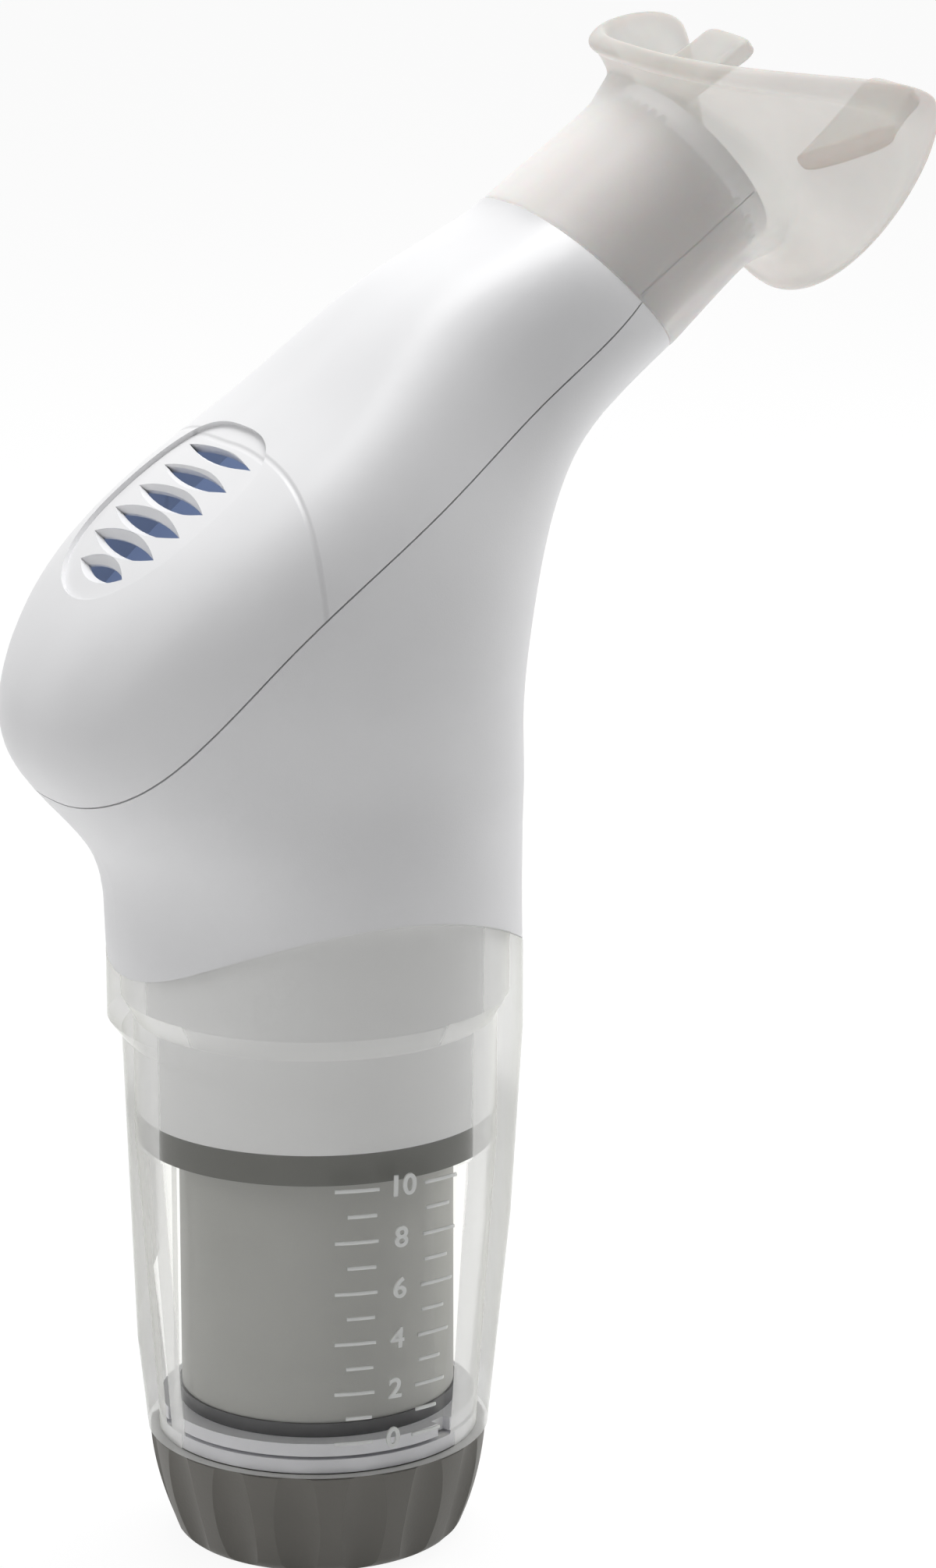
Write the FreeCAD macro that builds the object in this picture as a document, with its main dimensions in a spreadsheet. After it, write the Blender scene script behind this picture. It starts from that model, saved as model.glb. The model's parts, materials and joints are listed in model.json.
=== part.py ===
"""Inspiratory muscle trainer, a hand-held breathing resistance device, in millimetres.

The device stands on its tension knob. +Z runs up the barrel, +X points to the mouth side and
Y is across the device. The origin is the centre of the knob's flat foot.

Turning the knob turns a lead screw, which raises a keyed carriage in the clear barrel and so
compresses the main spring. The spring pulls a poppet down on its seat, and a breath in has to
lift it. A breath out leaves through a soft flap under the slots of the handle cover.
"""
import FreeCAD, Part
import math
import os
import re

import Sketcher
from FreeCAD import Matrix, Placement, Rotation, Vector

SIZES = {
    # Tension knob
    "foot_radius": 14.6,
    "foot_round": 2.4,
    "knob_low_radius": 16.7,
    "knob_low_height": 1.6,
    "knob_side_round": 34.0,
    "knob_top_radius": 19.3,
    "knob_height": 12.6,
    "knob_wall": 2.0,
    "knob_floor": 2.6,
    "hub_radius": 7.5,
    "hub_top": 17.2,
    "clip_groove_depth": 0.6,
    "scallop_count": 15,
    "scallop_radius": 4.2,
    "scallop_bite": 0.62,
    "scallop_lean": 14.0,
    "scallop_middle": 6.6,
    # Hexagon drive between the knob and the lead screw
    "hexagon_flats": 5.0,
    "slide_fit": 0.08,
    # Bearing disc in the foot of the barrel
    "bearing_bottom": 13.0,
    "bearing_top": 14.6,
    "journal_outer": 10.0,
    "washer_thickness": 0.8,
    "clip_thickness": 0.9,
    "clip_outer": 9.0,
    "running_fit": 0.05,
    "press_gap": 0.08,
    # Clear barrel
    "barrel_bottom": 12.9,
    "barrel_low_radius": 19.55,
    "barrel_middle": 38.0,
    "barrel_middle_radius": 22.15,
    "barrel_high": 60.0,
    "barrel_high_radius": 23.5,
    "bore_low_radius": 18.3,
    "bore_guide_radius": 20.6,
    "bore_guide_height": 47.3,
    "bore_step_low": 62.0,
    "bore_step_high": 64.6,
    "bore_top_radius": 22.0,
    "wave_middle": 72.65,
    "wave_swing": 4.4,
    "wave_overhang": 5.5,
    "nose_flat_low_radius": 20.3,
    "nose_flat_high_radius": 25.4,
    "nose_flat_shift": 3.75,
    "nose_flat_top": 59.6,
    "nose_ledge_top": 64.6,
    "rail_inner_radius": 17.3,
    "rail_width": 1.6,
    "rail_count": 3,
    # Load carriage, pointer ring and sleeve
    "carriage_bottom": 14.9,
    "carriage_top": 16.4,
    "carriage_radius": 18.0,
    "carriage_recess_radius": 9.6,
    "carriage_recess_top": 18.2,
    "carriage_boss_radius": 7.0,
    "carriage_boss_top": 30.0,
    "carriage_shoulder_radius": 12.4,
    "carriage_shoulder_top": 19.8,
    "rail_clearance": 0.3,
    "pointer_height": 1.6,
    "pointer_radius": 15.9,
    "sleeve_radius": 15.6,
    "sleeve_wall": 1.2,
    "sleeve_top": 51.4,
    # Lead screw
    "screw_bottom": 4.0,
    "screw_radius": 3.0,
    "hexagon_top": 18.0,
    "screw_top": 54.0,
    "stem_radius": 2.5,
    "stem_end": 1.5,
    "thread_fit": 0.05,
    # Ring and tail at the foot of the handle
    "ring_height": 3.5,
    "ring_bore": 16.2,
    "ring_plug": 4.0,
    "tail_bottom": 50.9,
    "tail_radius": 20.3,
    "tail_bore": 18.3,
    "tail_top_radius": 21.7,
    "tail_step_low": 61.7,
    "tail_step_high": 64.3,
    "rim_gap": 0.15,
    # Inhale valve
    "ledge_bottom": 90.0,
    "ledge_thickness": 2.0,
    "ledge_opening": 15.0,
    "gasket_thickness": 0.7,
    "seat_plate": 2.5,
    "seat_rim_height": 0.9,
    "seat_port": 8.2,
    "seat_rim_radius": 10.0,
    "seat_hub_radius": 4.5,
    "seat_hub_length": 5.0,
    "seat_arm_width": 2.2,
    "seat_arm_count": 3,
    "valve_gap": 0.05,
    "seal_thickness": 0.8,
    "seal_inner": 6.8,
    "poppet_radius": 11.6,
    "poppet_thickness": 2.0,
    "poppet_hub_radius": 4.2,
    "poppet_hub_height": 2.2,
    "stem_clip_radius": 4.4,
    "stem_clip_thickness": 0.9,
    "stem_groove_depth": 0.5,
    # Main spring and its upper seat
    "spring_mean_radius": 9.6,
    "spring_wire": 1.7,
    "spring_turns": 10.5,
    "spring_seat_thickness": 1.2,
    "spring_seat_outer": 12.2,
    "spring_seat_inner": 8.3,
    "spring_seat_lip": 1.0,
    # Handle shell and spigot
    "shell_wall": 2.0,
    "seam_gap": 0.2,
    "cuff_wall": 1.8,
    "mouth_pitch": 38.0,
    "spigot_length": 19.0,
    "spigot_rise": 10.9,
    "spigot_side": 12.6,
    "spigot_wall": 1.6,
    # Grille of slots in a shallow leaf-shaped recess
    "slot_count": 6,
    "slot_pitch": 3.58,
    "slot_side": 9.2,
    "slot_half_height": 1.55,
    "slot_throat": 0.95,
    "grille_across": -11.7,
    "grille_up": 126.8,
    "grille_slope": 42.2,
    "recess_depth": 0.6,
    "recess_side": 13.2,
    "recess_margin": 4.4,
    # Exhale deck, flap and its clip
    "deck_depth": 10.4,
    "deck_thickness": 1.8,
    "deck_clearance": 0.25,
    "deck_reach": 19.0,
    "port_radius": 7.2,
    "port_arm": 1.5,
    "flap_radius": 8.4,
    "flap_thickness": 0.8,
    "flap_gap": 0.1,
    "bead_radius": 0.9,
    "bead_length": 12.0,
    "tongue_width": 9.6,
    "hinge_clip_length": 14.0,
    "hinge_clip_wall": 1.2,
    # Mouthpiece
    "collar_fit": 0.05,
    "collar_length": 16.0,
    "collar_rise": 11.9,
    "collar_side": 13.6,
    "flare_rise": 17.0,
    "flare_side": 20.0,
    "flange_start": 19.2,
    "flange_radius": 39.5,
    "flange_thickness": 1.7,
    "flange_side": 29.8,
    "flange_up": 19.8,
    "flange_down": 19.2,
    "airway_rise": 7.2,
    "airway_side": 10.4,
    "bite_inner": 15.4,
    "bite_outer": 26.2,
    "bite_end": 38.4,
    "bite_thickness": 2.6,
    "bite_round": 1.1,
}

# Each section of the handle has a centre, a tilt, a reach to the front and to the back, a half
# width and the squareness of its front and back halves, where 2 is an ellipse.
SECTION_FIELDS = ("across", "up", "tilt", "front", "back", "side", "squarefront", "squareback")
SECTIONS = {
    "low": (0.0, 62.0, 0.0, 23.5, 23.5, 23.5, 2.0, 2.0),
    "rim": (0.0, 69.5, 0.0, 23.45, 23.45, 23.45, 2.0, 2.0),
    "neck": (0.0, 77.0, 0.5, 23.9, 23.35, 23.4, 2.0, 2.0),
    "waist": (-0.5, 84.0, 3.0, 27.5, 24.0, 23.3, 2.2, 2.0),
    "chin": (-2.5, 91.5, 8.0, 32.7, 26.6, 23.2, 2.5, 2.0),
    "nose": (-4.5, 99.0, 15.0, 28.4, 28.9, 24.4, 2.9, 2.1),
    "brow": (0.5, 114.0, 33.0, 18.2, 26.6, 24.6, 3.3, 2.2),
    "bend": (14.5, 128.0, 45.0, 15.6, 16.3, 18.6, 3.0, 2.2),
    "throat": (22.5, 136.0, 48.5, 13.6, 12.8, 16.5, 2.7, 2.2),
    "cuff": (31.7, 143.8, 43.5, 12.1, 13.0, 14.3, 2.4, 2.2),
}
SECTION_POINTS = 24

# The seam between cover and body, seen from the side, runs through these points.
SEAM = {
    "seam_tip": (-45.0, 88.6),
    "seam_chin": (-29.5, 91.4),
    "seam_cheek": (-22.0, 98.4),
    "seam_side": (-12.9, 108.4),
    "seam_throat": (12.0, 126.2),
    "seam_cuff": (34.0, 142.6),
    "seam_end": (60.0, 162.4),
}

# Heights that several pieces share, worked out from the sizes.
PLATE_TOP = "(ledge_bottom - gasket_thickness)"
PLATE_BOTTOM = f"({PLATE_TOP} - seat_plate)"
RIM_TOP = f"({PLATE_TOP} + seat_rim_height)"
SEAL_BOTTOM = f"({RIM_TOP} + valve_gap)"
SEAL_TOP = f"({SEAL_BOTTOM} + seal_thickness)"
POPPET_TOP = f"({SEAL_TOP} + poppet_thickness + poppet_hub_height)"
STEM_TOP = f"({POPPET_TOP} + stem_clip_thickness + stem_end)"
POINTER_TOP = "(carriage_top + pointer_height)"
CLIP_BOTTOM = "(bearing_top + running_fit)"
CLIP_TOP = f"({CLIP_BOTTOM} + clip_thickness)"
WASHER_TOP = "(knob_floor + washer_thickness)"
SPRING_TOP = f"({PLATE_BOTTOM} - spring_seat_thickness)"
WAVE_TOP = "(wave_middle + wave_swing)"

doc = FreeCAD.newDocument("inspiratory_muscle_trainer")
sheet = doc.addObject("Spreadsheet::Sheet", "Sizes")
probe = doc.addObject("App::FeaturePython", "Probe")
probe.addProperty("App::PropertyFloat", "Value")


def fill_sheet():
    """Write every driving size to the sheet as a plain number with a word as its alias."""
    entries = dict(SIZES)
    for name, values in SECTIONS.items():
        for field, value in zip(SECTION_FIELDS, values):
            entries[f"{name}_{field}"] = value
    for name, (across, up) in SEAM.items():
        entries[f"{name}_across"] = across
        entries[f"{name}_up"] = up
    for row, (alias, value) in enumerate(entries.items(), start=1):
        sheet.set(f"A{row}", alias)
        sheet.set(f"B{row}", str(value))
        sheet.setAlias(f"B{row}", alias)
    doc.recompute()
    return set(entries)


ALIASES = fill_sheet()


def size(alias):
    """Return one driving size from the sheet."""
    return float(sheet.get(alias))


def on_sheet(expression):
    """Point each alias in an expression at the sheet."""
    def swap(match):
        word = match.group(0)
        return f"Sizes.{word}" if word in ALIASES else word
    return re.sub(r"[A-Za-z_]+", swap, expression)


def evaluate(expression):
    """Work out an expression over the sheet as a number."""
    probe.setExpression("Value", on_sheet(expression))
    probe.recompute()
    return probe.Value


def bind(target, **expressions):
    """Bind properties of a document object to expressions over the sheet."""
    for name, expression in expressions.items():
        target.setExpression(name.replace("__", "."), on_sheet(expression))
    return target


def new_body(label):
    """Start a body whose label is its node's name."""
    body = doc.addObject("PartDesign::Body", label)
    body.Label = label
    return body


def origin_feature(body, role):
    """Find an origin plane or axis of a body by its role."""
    return next(feature for feature in body.Origin.OriginFeatures if feature.Role == role)


def new_sketch(body, name, role="XZ_Plane", height=None):
    """Attach a sketch to one of its body's own origin planes, raised by a bound height."""
    sketch = body.newObject("Sketcher::SketchObject", name)
    sketch.AttachmentSupport = [(origin_feature(body, role), "")]
    sketch.MapMode = "FlatFace"
    if height:
        sketch.setExpression(".AttachmentOffset.Base.z", on_sheet(height))
    return sketch


def place(sketch, geometry, end, x, y):
    """Fix one point of a sketch at bound distances from the sketch's origin."""
    for kind, expression in (("DistanceX", x), ("DistanceY", y)):
        constraint = Sketcher.Constraint(kind, -1, 1, geometry, end, evaluate(expression))
        row = sketch.addConstraint(constraint)
        sketch.setExpression(f"Constraints[{row}]", on_sheet(expression))


def outline(sketch, corners):
    """Draw a closed outline anticlockwise with every corner bound.

    A corner is a pair of expressions. A third one rounds the side that starts there, as its radius.
    """
    points = [Vector(evaluate(corner[0]), evaluate(corner[1]), 0) for corner in corners]
    count = len(points)
    for index, corner in enumerate(corners):
        start, end = points[index], points[(index + 1) % count]
        if len(corner) == 3:
            half = (end - start) / 2
            radius = evaluate(corner[2])
            rise = radius - math.sqrt(radius ** 2 - half.Length ** 2)
            away = Vector(half.y, -half.x, 0).normalize()
            sketch.addGeometry(Part.Arc(start, start + half + away * rise, end), False)
        else:
            sketch.addGeometry(Part.LineSegment(start, end), False)
    for index, corner in enumerate(corners):
        sketch.addConstraint(Sketcher.Constraint("Coincident", (index - 1) % count, 2, index, 1))
        place(sketch, index, 1, corner[0], corner[1])
        if len(corner) == 3:
            row = sketch.addConstraint(Sketcher.Constraint("Radius", index, evaluate(corner[2])))
            sketch.setExpression(f"Constraints[{row}]", on_sheet(corner[2]))
    return sketch


def circle(sketch, radius, x="0", y="0"):
    """Draw a circle with a bound centre and radius."""
    centre = Vector(evaluate(x), evaluate(y), 0)
    number = sketch.addGeometry(Part.Circle(centre, Vector(0, 0, 1), evaluate(radius)), False)
    row = sketch.addConstraint(Sketcher.Constraint("Radius", number, evaluate(radius)))
    sketch.setExpression(f"Constraints[{row}]", on_sheet(radius))
    place(sketch, number, 3, x, y)
    return sketch


def hexagon(sketch, half_flats):
    """Draw a hexagon by the distance from its centre to a flat."""
    reach = f"({half_flats}) / cos(30 deg)"
    turns = [f"{60 * corner} deg" for corner in range(6)]
    return outline(sketch, [(f"{reach} * cos({turn})", f"{reach} * sin({turn})") for turn in turns])


def turn(body, kind, name, corners):
    """Turn an outline of radius and height pairs about Z, to add or to cut."""
    feature_sketch = outline(new_sketch(body, f"{name}Profile"), corners)
    feature = body.newObject(f"PartDesign::{kind}", name)
    feature.Profile = feature_sketch
    feature.ReferenceAxis = (feature_sketch, ["V_Axis"])
    feature.Angle = 360
    return feature


def push(body, kind, name, sketch, length):
    """Pad or pocket a sketch upwards by a bound length."""
    feature = body.newObject(f"PartDesign::{kind}", name)
    feature.Profile = sketch
    feature.Reversed = kind == "Pocket"
    bind(feature, Length=length)
    return feature


def polar(body, name, feature, count):
    """Repeat a feature round the body's axis and make the pattern the body's tip."""
    pattern = body.newObject("PartDesign::PolarPattern", name)
    pattern.Originals = [feature]
    pattern.Axis = (origin_feature(body, "Z_Axis"), [""])
    pattern.Angle = 360
    bind(pattern, Occurrences=count)
    body.Tip = pattern
    return pattern


def turned(label, corners):
    """Model a piece that is one turned outline."""
    body = new_body(label)
    turn(body, "Revolution", "Turn", corners)
    return body


def ring(label, inner, outer, bottom, top):
    """Model a piece that is a plain ring."""
    return turned(label, [(inner, bottom), (outer, bottom), (outer, top), (inner, top)])


def plain(label, shape):
    """Hold a sculpted form that Part's own functions make."""
    feature = doc.addObject("Part::Feature", label)
    feature.Label = label
    feature.Shape = shape
    return feature


def boolean(kind, label, base, tool):
    """Make a boolean of two document objects."""
    result = doc.addObject(f"Part::{kind}", label)
    result.Label = label
    result.Base = base
    result.Tool = tool
    result.Refine = False
    return result


def direction(pitch):
    """Return the direction that rises towards the mouth side at a pitch in degrees."""
    return Vector(math.cos(math.radians(pitch)), 0, math.sin(math.radians(pitch)))


def squared(ratio, power):
    """Bend a sine or cosine so that the ellipse it draws is squared by a power above 2."""
    return math.copysign(abs(ratio) ** (2 / power), ratio)


def section_wire(centre, tilt, front, back, side, squarefront, squareback):
    """Make one closed section, with its own reach and squareness to the front and the back."""
    lean = math.radians(tilt)
    forward = Vector(-math.cos(lean), 0, math.sin(lean))
    points = []
    for index in range(SECTION_POINTS):
        angle = 2 * math.pi * index / SECTION_POINTS
        reach, power = (back, squareback) if math.cos(angle) < 0 else (front, squarefront)
        lengthways = forward * (reach * squared(math.cos(angle), power))
        points.append(centre + lengthways + Vector(0, side * squared(math.sin(angle), power), 0))
    curve = Part.BSplineCurve()
    curve.interpolate(Points=points, PeriodicFlag=True)
    return Part.Wire(curve.toShape())


def handle_section(name, inset=0.0):
    """Make a named section of the handle, shrunk by an inset."""
    across, up, tilt, front, back, side, squarefront, squareback = (
        size(f"{name}_{field}") for field in SECTION_FIELDS)
    return section_wire(
        Vector(across, 0, up), tilt, front - inset, back - inset, side - inset,
        squarefront, squareback)


def handle_form(inset=0.0):
    """Loft the handle's form through its sections, shrunk by an inset."""
    sections = [handle_section(name, inset) for name in SECTIONS]
    return Part.makeLoft(sections, True, False, False, 3)


def half_space(point, outward):
    """Make a large block on one side of a plane."""
    reach = 200
    block = Part.makeBox(2 * reach, 2 * reach, reach, Vector(-reach, -reach, 0))
    block.Placement = Placement(point, Rotation(Vector(0, 0, 1), outward))
    return block


def cuff_centre():
    """Return the centre of the cuff, where the mouthpiece's collar ends on the handle."""
    return Vector(size("cuff_across"), 0, size("cuff_up"))


def oval_bar(rise, side, start, end):
    """Make an oval bar along the mouth axis, between two distances from the cuff's centre."""
    axis = direction(size("mouth_pitch"))
    wire = section_wire(cuff_centre() + axis * start, 90 - size("mouth_pitch"), rise, rise, side,
                        2.0, 2.0)
    return Part.Face(wire).extrude(axis * (end - start))


def wave_block(label, gap):
    """Model the block under the barrel's wavy rim, an arc pushed across the device."""
    body = new_body(label)
    radius = "((barrel_high_radius ^ 2 + 4 * wave_swing ^ 2) / (4 * wave_swing))"
    reach = "(barrel_high_radius + wave_overhang)"
    edge = (f"wave_middle + wave_swing + {gap} - {radius}"
            f" + sqrt({radius} ^ 2 - {reach} ^ 2)")
    sketch = outline(new_sketch(body, "WaveProfile"), [
        (f"-{reach}", "barrel_bottom - 1"), (reach, "barrel_bottom - 1"),
        (reach, edge, radius), (f"-{reach}", edge),
    ])
    pad = push(body, "Pad", "Wave", sketch, f"{reach} * 2")
    pad.Midplane = True
    return body


def seam_block(label, upper, gap=0.0):
    """Make the space above or below the seam between the cover and the body."""
    drop = Vector(math.sin(math.radians(size("mouth_pitch"))), 0,
                  -math.cos(math.radians(size("mouth_pitch")))) * gap
    points = [Vector(size(f"{name}_across"), 0, size(f"{name}_up")) + drop for name in SEAM]
    seam = Part.BSplineCurve()
    seam.interpolate(points)
    far = Vector(0, 0, 200 if upper else -200)
    edges = [seam.toShape()]
    for start, end in ((points[-1], points[-1] + far), (points[-1] + far, points[0] + far),
                       (points[0] + far, points[0])):
        edges.append(Part.LineSegment(start, end).toShape())
    face = Part.Face(Part.Wire(edges))
    face.translate(Vector(0, -60, 0))
    return plain(label, face.extrude(Vector(0, 120, 0)))


def handle_shell():
    """Model the whole hollow handle before it is parted into cover and body."""
    outer = plain("HandleForm", handle_form())
    tail = turned("HandleTail", [
        ("0", "tail_bottom"), ("tail_radius", "tail_bottom"), ("tail_radius", "tail_step_low"),
        ("tail_top_radius", "tail_step_high"), ("tail_top_radius", "neck_up + 2"),
        ("0", "neck_up + 2"),
    ])
    under = wave_block("UnderRim", "rim_gap")
    around = boolean("Cut", "RimCut", under, tail)
    waved = boolean("Cut", "HandleWaved", outer, around)
    joined = boolean("Fuse", "HandleJoined", waved, tail)
    spigot = plain("Spigot", oval_bar(
        size("spigot_rise"), size("spigot_side"), -size("cuff_wall") * 3, size("spigot_length")))
    whole = boolean("Fuse", "HandleWhole", joined, spigot)
    bore = turned("HandleBore", [
        ("0", "tail_bottom - 1"), ("tail_bore", "tail_bottom - 1"), ("tail_bore", "ledge_bottom"),
        ("ledge_opening", "ledge_bottom"), ("ledge_opening", "ledge_bottom + ledge_thickness + 1"),
        ("0", "ledge_bottom + ledge_thickness + 1"),
    ])
    cavity = handle_form(size("shell_wall"))
    cavity = cavity.common(half_space(
        Vector(0, 0, size("ledge_bottom") + size("ledge_thickness")), Vector(0, 0, 1)))
    lean = math.radians(size("cuff_tilt"))
    cuff_normal = Vector(math.sin(lean), 0, math.cos(lean))
    cavity = cavity.cut(half_space(cuff_centre() - cuff_normal * size("cuff_wall"), cuff_normal))
    wall = size("spigot_wall")
    airway = oval_bar(size("spigot_rise") - wall, size("spigot_side") - wall,
                      -size("cuff_wall") * 4, size("spigot_length") + 1)
    chamber = plain("Chamber", cavity.fuse(airway))
    hollow = boolean("Fuse", "HandleHollow", chamber, bore)
    return boolean("Cut", "HandleShell", whole, hollow)


def grille_frame():
    """Return the placement of the grille: X runs up the slope and Z stands off the surface."""
    slope = size("grille_slope")
    first = Vector(size("grille_across"), 0, size("grille_up"))
    half_run = (size("slot_count") - 1) * size("slot_pitch") / 2
    return Placement(first - direction(slope) * half_run, Rotation(Vector(0, 1, 0), -slope))


def lens(centre_x, half_length, half_height, height):
    """Draw a lens across the slope: two arcs that meet in a tip at each side."""
    tips = [Vector(centre_x, side * half_length, height) for side in (-1, 1)]
    arcs = []
    for side in (-1, 1):
        crown = Vector(centre_x + side * half_height, 0, height)
        start, end = tips if side < 0 else tips[::-1]
        arcs.append(Part.Arc(start, crown, end).toShape())
    return Part.Wire(arcs)


def grille_slots():
    """Make the countersunk slots, the lowest ones shortened to the recess's rounded end."""
    count = int(size("slot_count"))
    pitch = size("slot_pitch")
    slots = []
    for index in range(count):
        centre_x = ((count - 1) / 2 - index) * pitch
        over = max(0, index - count / 2) / (count * 0.425)
        half = size("slot_side") * math.sqrt(1 - over ** 2)
        rim = size("slot_half_height") + 0.2
        throat = size("slot_throat")
        face = 0.2 - size("recess_depth")
        mouth = lens(centre_x, half + rim - throat, rim, face)
        neck = lens(centre_x, half, throat, face - rim + throat)
        slots.append(Part.Face(mouth).extrude(Vector(0, 0, 3)))
        slots.append(Part.makeLoft([mouth, neck], True, True))
        slots.append(Part.Face(neck).extrude(Vector(0, 0, -2 * size("shell_wall"))))
    tool = slots[0].multiFuse(slots[1:])
    tool.Placement = grille_frame()
    return tool


def grille_recess():
    """Make the shallow recess that follows the surface round the slots."""
    run = (size("slot_count") - 1) * size("slot_pitch") / 2 + size("recess_margin")
    frame = grille_frame()
    points = []
    for index in range(SECTION_POINTS):
        angle = 2 * math.pi * index / SECTION_POINTS
        power = 3.0 if math.cos(angle) > 0 else 2.1
        local = Vector(run * squared(math.cos(angle), power),
                       size("recess_side") * squared(math.sin(angle), power), -4)
        points.append(frame.multVec(local))
    curve = Part.BSplineCurve()
    curve.interpolate(Points=points, PeriodicFlag=True)
    wire = Part.Wire(curve.toShape())
    stand = frame.Rotation.multVec(Vector(0, 0, 1))
    return Part.Face(wire).extrude(stand * 12).cut(handle_form(size("recess_depth")))


def handle_cover(shell):
    """Model the cover: the shell above the seam, with its recess and slots."""
    blank = boolean("Common", "CoverBlank", shell, seam_block("AboveSeam", True))
    recess = boolean("Cut", "CoverRecessed", blank, plain("Recess", grille_recess()))
    return boolean("Cut", "handle_cover", recess, plain("Slots", grille_slots()))


def handle_body(shell):
    """Model the body: the shell below the seam, with its tail in the barrel."""
    return boolean("Common", "handle_body", shell,
                   seam_block("BelowSeam", False, size("seam_gap")))


def tension_knob():
    """Model the knob: a turned cup with a hub, a hexagon socket and lens-shaped finger hollows."""
    body = new_body("tension_knob")
    turn(body, "Revolution", "Cup", [
        ("0", "0"), ("foot_radius", "0", "foot_round"),
        ("knob_low_radius", "knob_low_height", "knob_side_round"),
        ("knob_top_radius", "knob_height"), ("knob_top_radius - knob_wall", "knob_height"),
        ("knob_low_radius - knob_wall", "knob_floor"), ("hub_radius", "knob_floor"),
        ("hub_radius", "hub_top"), ("0", "hub_top"),
    ])
    turn(body, "Groove", "ClipGroove", [
        ("hub_radius - clip_groove_depth", CLIP_BOTTOM), ("hub_radius + 1", CLIP_BOTTOM),
        ("hub_radius + 1", CLIP_TOP), ("hub_radius - clip_groove_depth", CLIP_TOP),
    ])
    socket = hexagon(new_sketch(body, "SocketProfile", "XY_Plane", "knob_floor / 2"),
                     "hexagon_flats / 2 + slide_fit")
    push(body, "Pocket", "Socket", socket, "hub_top")
    scallop = body.newObject("PartDesign::SubtractiveCylinder", "Scallop")
    bind(scallop, Radius="scallop_radius", Height="knob_height * 3")
    tilt = Rotation(Vector(0, 1, 0), size("scallop_lean"))
    side = (size("knob_low_radius") + size("knob_top_radius")) / 2
    middle = Vector(side + size("scallop_radius") - size("scallop_bite"), 0,
                    size("scallop_middle"))
    scallop.AttachmentSupport = [(origin_feature(body, "XY_Plane"), "")]
    scallop.MapMode = "FlatFace"
    scallop.AttachmentOffset = Placement(
        middle - tilt.multVec(Vector(0, 0, 1.5 * size("knob_height"))), tilt)
    polar(body, "Scallops", scallop, "scallop_count")
    return body


def end_bearing():
    """Model the bearing disc in the barrel's foot, with the journal for the knob's hub."""
    return turned("end_bearing", [
        ("hub_radius + running_fit", WASHER_TOP), ("journal_outer", WASHER_TOP),
        ("journal_outer", "bearing_bottom"), ("bore_low_radius - press_gap", "bearing_bottom"),
        ("bore_low_radius - press_gap", "bearing_top"), ("hub_radius + running_fit", "bearing_top"),
    ])


def lead_screw():
    """Model the screw: a hexagon foot, the screw length and the slim valve stem in one piece."""
    body = new_body("lead_screw")
    turn(body, "Revolution", "Shank", [
        ("0", "hexagon_top"), ("screw_radius", "hexagon_top"), ("screw_radius", "screw_top"),
        ("stem_radius", "screw_top + 1"), ("stem_radius", f"{STEM_TOP} - stem_groove_depth"),
        ("stem_radius - stem_groove_depth", STEM_TOP), ("0", STEM_TOP),
    ])
    turn(body, "Groove", "StemGroove", [
        ("stem_radius - stem_groove_depth", POPPET_TOP), ("stem_radius + 1", POPPET_TOP),
        ("stem_radius + 1", f"{POPPET_TOP} + stem_clip_thickness"),
        ("stem_radius - stem_groove_depth", f"{POPPET_TOP} + stem_clip_thickness"),
    ])
    foot = hexagon(new_sketch(body, "FootProfile", "XY_Plane", "screw_bottom"),
                   "hexagon_flats / 2")
    push(body, "Pad", "HexagonFoot", foot, "hexagon_top - screw_bottom")
    return body


def spring_carriage():
    """Model the carriage: a keyed disc with a threaded boss, notched for the barrel's rails."""
    body = new_body("spring_carriage")
    turn(body, "Revolution", "Disc", [
        ("screw_radius + thread_fit", "carriage_recess_top"),
        ("carriage_recess_radius", "carriage_recess_top"),
        ("carriage_recess_radius", "carriage_bottom"), ("carriage_radius", "carriage_bottom"),
        ("carriage_radius", "carriage_top"), ("carriage_shoulder_radius", "carriage_top"),
        ("carriage_shoulder_radius", "carriage_shoulder_top"),
        ("carriage_boss_radius", "carriage_shoulder_top"),
        ("carriage_boss_radius", "carriage_boss_top"),
        ("screw_radius + thread_fit", "carriage_boss_top"),
    ])
    half = "(rail_width / 2 + rail_clearance)"
    inner = "(rail_inner_radius - rail_clearance)"
    notch = outline(new_sketch(body, "NotchProfile", "XY_Plane", "carriage_bottom - 1"), [
        ("-(carriage_radius + 2)", f"-{half}"), (f"-{inner}", f"-{half}"), (f"-{inner}", half),
        ("-(carriage_radius + 2)", half),
    ])
    cut = push(body, "Pocket", "Notch", notch, "carriage_top - carriage_bottom + 2")
    polar(body, "Notches", cut, "rail_count")
    return body


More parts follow.
